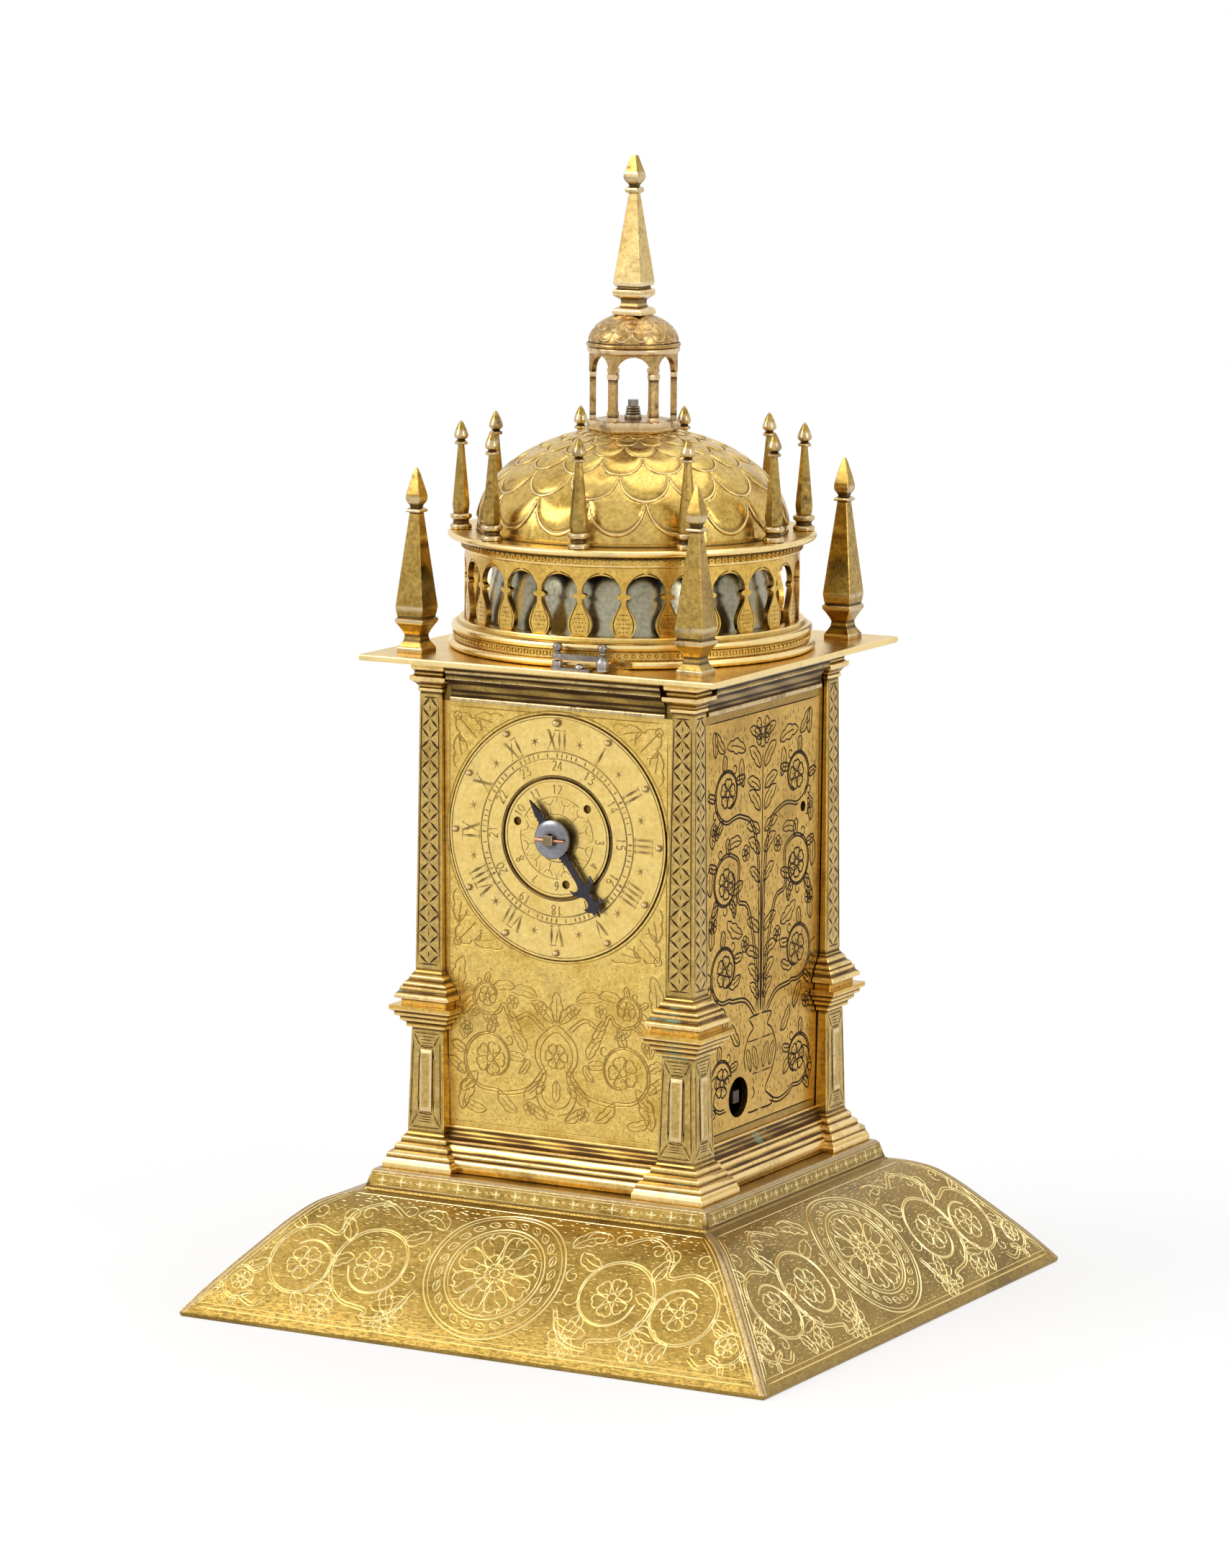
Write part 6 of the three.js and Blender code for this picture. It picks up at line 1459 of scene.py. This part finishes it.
def domePiece():
    radius, rise, foot, around, wall = (dome[key] for key in ("radius", "rise", "foot", "around", "wall"))
    turn, pitch, sides = math.radians(drumTurn), 2 * math.pi / around, 480
    stations = np.linspace(0, math.pi / 2 * 0.985, 150)
    along = arcLengths(np.c_[radius * np.cos(stations), foot + rise * np.sin(stations)])
    rowsAt = [1.5, 11.8, 21.0, 28.8, 35.2, 40.3, 44.6, along[-1] + 4]

    def outward(t, out):
        # A point off the smooth dome, along its normal
        nr, nz = math.cos(t) / radius, math.sin(t) / rise
        size = math.hypot(nr, nz)
        return radius * math.cos(t) + nr / size * out, foot + rise * math.sin(t) + nz / size * out

    def lift(t, s, theta):
        h, dirtAndShade = scaleRelief(theta + turn, s, rowsAt, around, dome["relief"])
        if s < 5.5:  # leaf tips between the lowest scales
            phase = abs((((theta + turn) / pitch) % 1) * 2 - 1)
            h += 0.35 * max(0.0, 1 - abs(1 - phase) * 5 - s / 5.0)
        fade = min(1.0, max(0.0, (radius * math.cos(t) - 9.5) / 3.0))
        return (*outward(t, h * fade - 0.35), dirtAndShade * fade)

    verts, faces, patinaAndShade = scaleSheet(stations, along, sides, lift)
    last, cap = len(verts) - sides, len(verts)
    faces += [(last + i, last + (i + 1) % sides, cap) for i in range(sides)]
    outside = (verts + [(0, 0, foot + rise - 0.3)], faces, patinaAndShade + [0.4])
    # plain band at the foot and the inside
    inner = radius - wall
    band = [(radius - 0.35, foot + 0.02, 0), (radius + 0.05, foot - 0.1, 0.1), (radius + 0.05, 216.3, 0.9),
        (inner, 216.2, 0.5)]
    band += [(inner * math.cos(t), foot + (rise - wall) * math.sin(t), 0.5)
        for t in np.linspace(0, math.pi / 2, 12)[:-1]]
    lower = lathe(band + [(0, foot + rise - wall, 0.5)], 96)
    dress(joinParts("domeScales", [outside, lower], giltDome, 60), "bell_housing", "gilt_brass", "dome")

    def surface(theta, s, out):
        r, z = outward(float(np.interp(s, along, stations)), out - 0.1)
        return onRound(r, theta - turn, z)

    rims = scaleRims(rowsAt, around, surface, 0.95, 0.42)
    dress(joinParts("domeRims", [rims], giltDome, 50), "bell_housing", "gilt_brass")


domePiece()

# Lantern of six columns, cupola and spire
lantern = {"radius": 12.3, "turn": -1.0, "archHalf": 4.6, "archRise": 4.3, "spring": 260.6, "wall": 1.5}


def lanternPiece():
    wide, rise, spring, turn = (lantern[key] for key in ("archHalf", "archRise", "spring", "turn"))
    base = soften([(0, 244.6), (12.6, 243.9), (12.9, 244.4), (12.9, 246.3), (12.5, 246.9), (11.9, 247.1), (0, 247.15)],
        0.2)
    crownRing = soften([(10.4, 265.4), (12.2, 265.4), (12.7, 265.8), (12.9, 266.4), (12.9, 267.0), (12.6, 267.2),
        (10.4, 267.2), (10.4, 265.4)], 0.15)
    parts = [lathe(base, 6, turn), lathe(crownRing, 48, turn, loop=True)]
    apothem = lantern["radius"] * math.cos(math.radians(30)) - 0.05
    half = lantern["radius"] / 2
    foot = [(half - 1.1, 259.9), (half, 260.2), (half, 265.6)]
    arch = flipped(foot) + [(-wide * math.cos(t), spring + rise * math.sin(t))
        for t in np.linspace(0, math.pi, 15)] + foot
    n = len(arch)
    verts = [(u, -depth, v) for depth in (apothem, apothem - lantern["wall"]) for u, v in arch]
    tri = delaunay_2d_cdt([Vector(p) for p in arch], [(i, (i + 1) % n) for i in range(n)], [], 1, 0.001, False)
    faces = []
    for face in tri[2]:
        x, y = np.mean([tuple(tri[0][i]) for i in face], axis=0)
        if abs(x) < wide and y < spring + rise * math.sqrt(max(0, 1 - (x / wide) ** 2)) - 0.02:
            continue
        faces += [tuple(face), tuple(i + n for i in reversed(face))]
    faces += [(i, i + n, (i + 1) % n + n, (i + 1) % n) for i in range(n)]
    parts += [placed((verts, faces, [0.15] * len(verts)), turn=turn + 30 + side * 60) for side in range(6)]
    column = soften([(1.5, 247.0), (1.5, 248.0), (1.2, 248.3), (1.15, 258.6), (1.5, 258.9), (1.6, 259.9),
        (1.5, 260.2)], 0.12)
    post = loft(column, lambda h: [(h, -0.75), (h, 0.75), (h * 0.6, 0.9), (-h * 0.6, 0.9), (-h, 0.75), (-h, -0.75),
        (-h * 0.6, -0.9), (h * 0.6, -0.9)])
    post = placed(post, 0, -(lantern["radius"] - 1.1))
    parts += [placed(post, turn=turn + 60 * k) for k in range(6)]
    return dress(joinParts("lanternDressed", parts, coppery, 30), "bell_housing", "coppery_gilt", "lantern")


cupola = {"radius": 12.5, "rise": 8.1, "foot": 268.4, "around": 14}


def cupolaPiece():
    radius, rise, foot, around = (cupola[key] for key in ("radius", "rise", "foot", "around"))
    stations = np.linspace(0.03, math.acos(4.3 / radius), 44)
    along = arcLengths(np.c_[radius * np.cos(stations), foot + rise * np.sin(stations)])
    rowsAt = [0.3, 3.6, 6.7, 9.6, 15]

    def lift(t, s, theta):
        h, dirtAndShade = scaleRelief(theta, s, rowsAt, around, 0.22)
        return radius * math.cos(t) + h - 0.1, foot + rise * math.sin(t) + h * 0.3, min(1.0, dirtAndShade * 1.3)

    def surface(theta, s, out):
        t = float(np.interp(s, along, stations))
        return onRound(radius * math.cos(t) + (out - 0.06) * 0.8, theta, foot + rise * math.sin(t) + (out - 0.06) * 0.6)

    rim = [(0, 267.2, 0.4), (12.4, 267.2, 0.5), (13.0, 267.4, 0.1), (13.2, 267.8, 0), (13.0, 268.3, 0.2),
        (12.6, 268.45, 0.8)]
    cap = lathe([(4.6, 275.7, 0.6), (4.2, 276.1, 0.6), (0, 276.1, 0.6)], 32)
    parts = [lathe(rim, 64), scaleSheet(stations, along, 160, lift), scaleRims(rowsAt, around, surface, 0.55, 0.2), cap]
    return dress(joinParts("cupolaScales", parts, coppery, 60), "bell_housing", "coppery_gilt", "cupola")


def spirePiece():
    low = [(4.5, 0.05), (4.5, 1.3), (4.1, 1.8), (2.9, 2.2), (2.65, 3.4), (2.8, 4.2), (4.0, 5.0), (4.4, 5.4), (4.4, 6.9),
           (3.6, 7.2), (3.4, 7.7), (4.1, 8.0), (4.3, 8.8), (1.2, 33.5)]
    high = [(1.2, 33.3), (1.9, 33.7), (2.05, 34.2), (1.9, 34.9), (1.1, 35.3), (1.3, 35.9), (2.1, 36.9), (2.35, 37.8),
            (2.2, 38.9), (1.4, 41.6), (0.8, 43.8)]
    shaft, tip = [loft(soften(raised(profile, 276.0), edge), lambda h: squareSection(h, 0.2))
        for profile, edge in ((low, 0.15), (high, 0.12))]
    dress(joinParts("spireShaft", [shaft], giltSpire, 26), "bell_housing", "gilt_brass", "spire")
    dress(joinParts("spireTip", [tip], giltWorn, 26), "bell_housing", "gilt_brass")


def bellPieces():
    outline = [(41.2, 191.0), (41.0, 192.0), (40.4, 196.0), (39.6, 201.0), (38.4, 207.0), (36.6, 213.0), (34.0, 219.5),
               (30.6, 225.3), (25.4, 231.0), (18.5, 235.4), (10.5, 237.4), (2.0, 237.6)]
    inside = [(r - 1.8 if r > 5 else r, z - 1.7 if z > 192 else z) for r, z in reversed(outline)]
    # the inside takes more patina than the outside: patina and painted shade under the bell
    profile = [(r, z, 0.1) for r, z in outline] + [(r, z, 0.4) for r, z in inside]
    dress(joinParts("bellShell", [lathe(profile, 96, loop=True)], bellMetal, 50), "bell_housing", "bell_metal", "bell")
    nut = soften([(1.5, 245.1), (3.6, 245.1), (3.5, 245.7), (3.0, 246.2), (2.6, 246.6), (2.4, 247.0), (2.4, 248.2),
        (1.9, 248.5), (2.2, 248.8), (1.8, 249.2), (2.1, 249.5), (1.7, 249.9), (2.0, 250.2), (1.5, 250.7)], 0.1)
    nut = lathe([(0, 245.1, 0)] + nut + [(0, 250.7, 0)], 32)
    dress(joinParts("bellNutDressed", [nut], bronze, 30), "bell_housing", "forged_steel", "bell_nut")


lanternPiece()
cupolaPiece()
spirePiece()
bellPieces()
print("dome, lantern and spire built")

# Steel latch in front of the drum, drawn round its left post
latch = {"at": (6.4, -53.2, 183.8), "bar": 13.9}


def ball(r, x, z):
    points = [(r * math.sin(t), z - r * math.cos(t)) for t in np.linspace(0, math.pi, 11)]
    return placed(lathe(points, 20), x)


def latchPieces():
    far = latch["bar"]
    base = block((-1.5, -1.3, 0), (10.4, 1.3, 0.7))
    knuckle = lathe(soften([(0, 0.05), (1.45, 0.1), (1.5, 2.4), (0, 2.55)], 0.15), 24)
    pin = lathe([(0, 4.3), (0.7, 4.35), (0.7, 5.2), (0, 5.2)], 16)
    button = lathe(soften([(0, 0.6), (1.25, 0.7), (1.5, 1.1), (1.2, 1.7), (0.5, 1.95), (0, 2.0)], 0.15), 24)
    post = [base, knuckle, pin, ball(1.4, 0, 6.1), placed(button, 7.0, -0.2)]
    bar = block((0.8, -0.75, 2.9), (far, 0.75, 4.4))
    eye = lathe(soften([(0.8, 2.9), (1.5, 2.9), (1.5, 4.4), (0.8, 4.4), (0.8, 2.9)], 0.12), 24, loop=True)
    pillar = lathe(soften([(0, 0.35), (1.75, 0.4), (1.75, 2.9), (1.2, 3.9), (0.75, 4.5), (0.7, 5.4), (0, 5.5)], 0.2),
        24)
    tongue = block((far - 0.65, 0, 0.35), (far + 0.65, 6.5, 1.8))
    hasp = [bar, eye, placed(pillar, far), ball(1.4, far, 6.5), tongue]
    pieces = (("latchPostDressed", post, "case", "latch_post"), ("latchHaspDressed", hasp, "latch_hasp", "latch_hasp"))
    for name, parts, body, nodeName in pieces:
        piece = joinParts(name, [placed(part, *latch["at"]) for part in parts], steel, 30)
        dress(piece, body, "forged_steel", nodeName)


latchPieces()

# The movement keeps its solids and gets its metals
recoat(wheelBrass, "movement_front_plate", "movement_back_plate", "going_barrel", "centre_wheel", "third_wheel",
       "crown_wheel", "balance_cock", "alarm_frame", "alarm_barrel", "alarm_pin_wheel")
recoat(steel, "balance", "alarm_winding_arbor", "hammer", "bell_bolt")

windSquare = block((31.0, -14.5, 60.3), (40.9, -11.1, 63.7))
windSquare = joinParts("windingSquare", [(*windSquare[:2], [0.95] * 8)], steel)
dress(windSquare, "alarm_winding_arbor", "forged_steel")

# Camera at the photograph's place; the photo is 2179 pixels high
view = {"focalPixels": 8587.15, "photoHigh": 2179, "sensor": 36.0}
eye = Vector((821.99, -1495.67, 415.74)) * mm
right = Vector((0.87462, 0.48478, 0.00589))
up = Vector((-0.08117, 0.13444, 0.98759))
back = Vector((0.47797, -0.86424, 0.15693))
lens = bpy.data.cameras.new("camera")
camera = addObject("camera", lens)
camera.matrix_world = Matrix([(right[k], up[k], back[k], eye[k]) for k in range(3)] + [(0, 0, 0, 1)])
lens.sensor_fit = "AUTO"
lens.sensor_width = view["sensor"]
lens.lens = view["focalPixels"] / view["photoHigh"] * view["sensor"]
lens.clip_start = 0.05
lens.clip_end = 50
bpy.context.scene.camera = camera


# Floor, lights and world
def shownRays(tree):
    # One where the camera, a reflection or a view through glass meets the white background
    rays = put(tree, "ShaderNodeLightPath").outputs
    seen = maths(tree, "MAXIMUM", rays["Is Camera Ray"], rays["Is Glossy Ray"])
    return maths(tree, "MAXIMUM", seen, rays["Is Transmission Ray"])


def showBlend(tree, share, lit, white, output):
    blend = put(tree, "ShaderNodeMixShader", {0: share, 1: lit.outputs[0], 2: white.outputs[0]})
    tree.links.new(blend.outputs[0], tree.nodes[output].inputs["Surface"])


floorMesh = bpy.data.meshes.new("floor")
floorMesh.from_pydata([(-9, -9, 0), (9, -9, 0), (9, 9, 0), (-9, 9, 0)], [], [(0, 1, 2, 3)])
floor = addObject("floor", floorMesh)
paper = bpy.data.materials.new("paper")
paper.use_nodes = True
tree = paper.node_tree
shade = tree.nodes["Principled BSDF"]
for label, value in (("Base Color", (0.86, 0.86, 0.87, 1)), ("Roughness", 0.9), ("Specular IOR Level", 0.0)):
    shade.inputs[label].default_value = value
where = put(tree, "ShaderNodeTexCoord").outputs["Object"]
distance = put(tree, "ShaderNodeVectorMath", {0: where}, operation="LENGTH").outputs["Value"]
# the shadow shows near the foot and fades into white farther off
faded = ramp(tree, distance, 0.12, 0.3, 0.62, 1.0, interpolation_type="SMOOTHSTEP")
glow = put(tree, "ShaderNodeEmission")
showBlend(tree, maths(tree, "MULTIPLY", shownRays(tree), faded), shade, glow, "Material Output")
floorMesh.materials.append(paper)


def softbox(name, place, aim, size, power):
    data = bpy.data.lights.new(name, "AREA")
    data.shape = "RECTANGLE"
    data.size, data.size_y = size
    data.energy = power
    lamp = addObject(name, data)
    lamp.location = place
    lamp.rotation_euler = (Vector(aim) - Vector(place)).to_track_quat("-Z", "Y").to_euler()


softbox("keyBox", (-1.2, -1.4, 1.3), (0, 0, 0.15), (1.1, 1.1), 19)
softbox("topBox", (0.1, 0.3, 1.8), (0, 0, 0.1), (1.3, 1.3), 7)
softbox("sideStrip", (1.6, -0.5, 0.7), (0, 0, 0.16), (0.25, 0.9), 5)

world = bpy.data.worlds.new("studio")
bpy.context.scene.world = world
world.use_nodes = True
tree = world.node_tree
white = tree.nodes["Background"]
white.inputs["Color"].default_value = (1, 1, 1, 1)
white.inputs["Strength"].default_value = 1.0
room = put(tree, "ShaderNodeBackground", {"Color": (1.0, 0.985, 0.96, 1), "Strength": 0.8})
showBlend(tree, shownRays(tree), room, white, "World Output")
bpy.context.scene.view_settings.view_transform = "Standard"

print("scene ready")
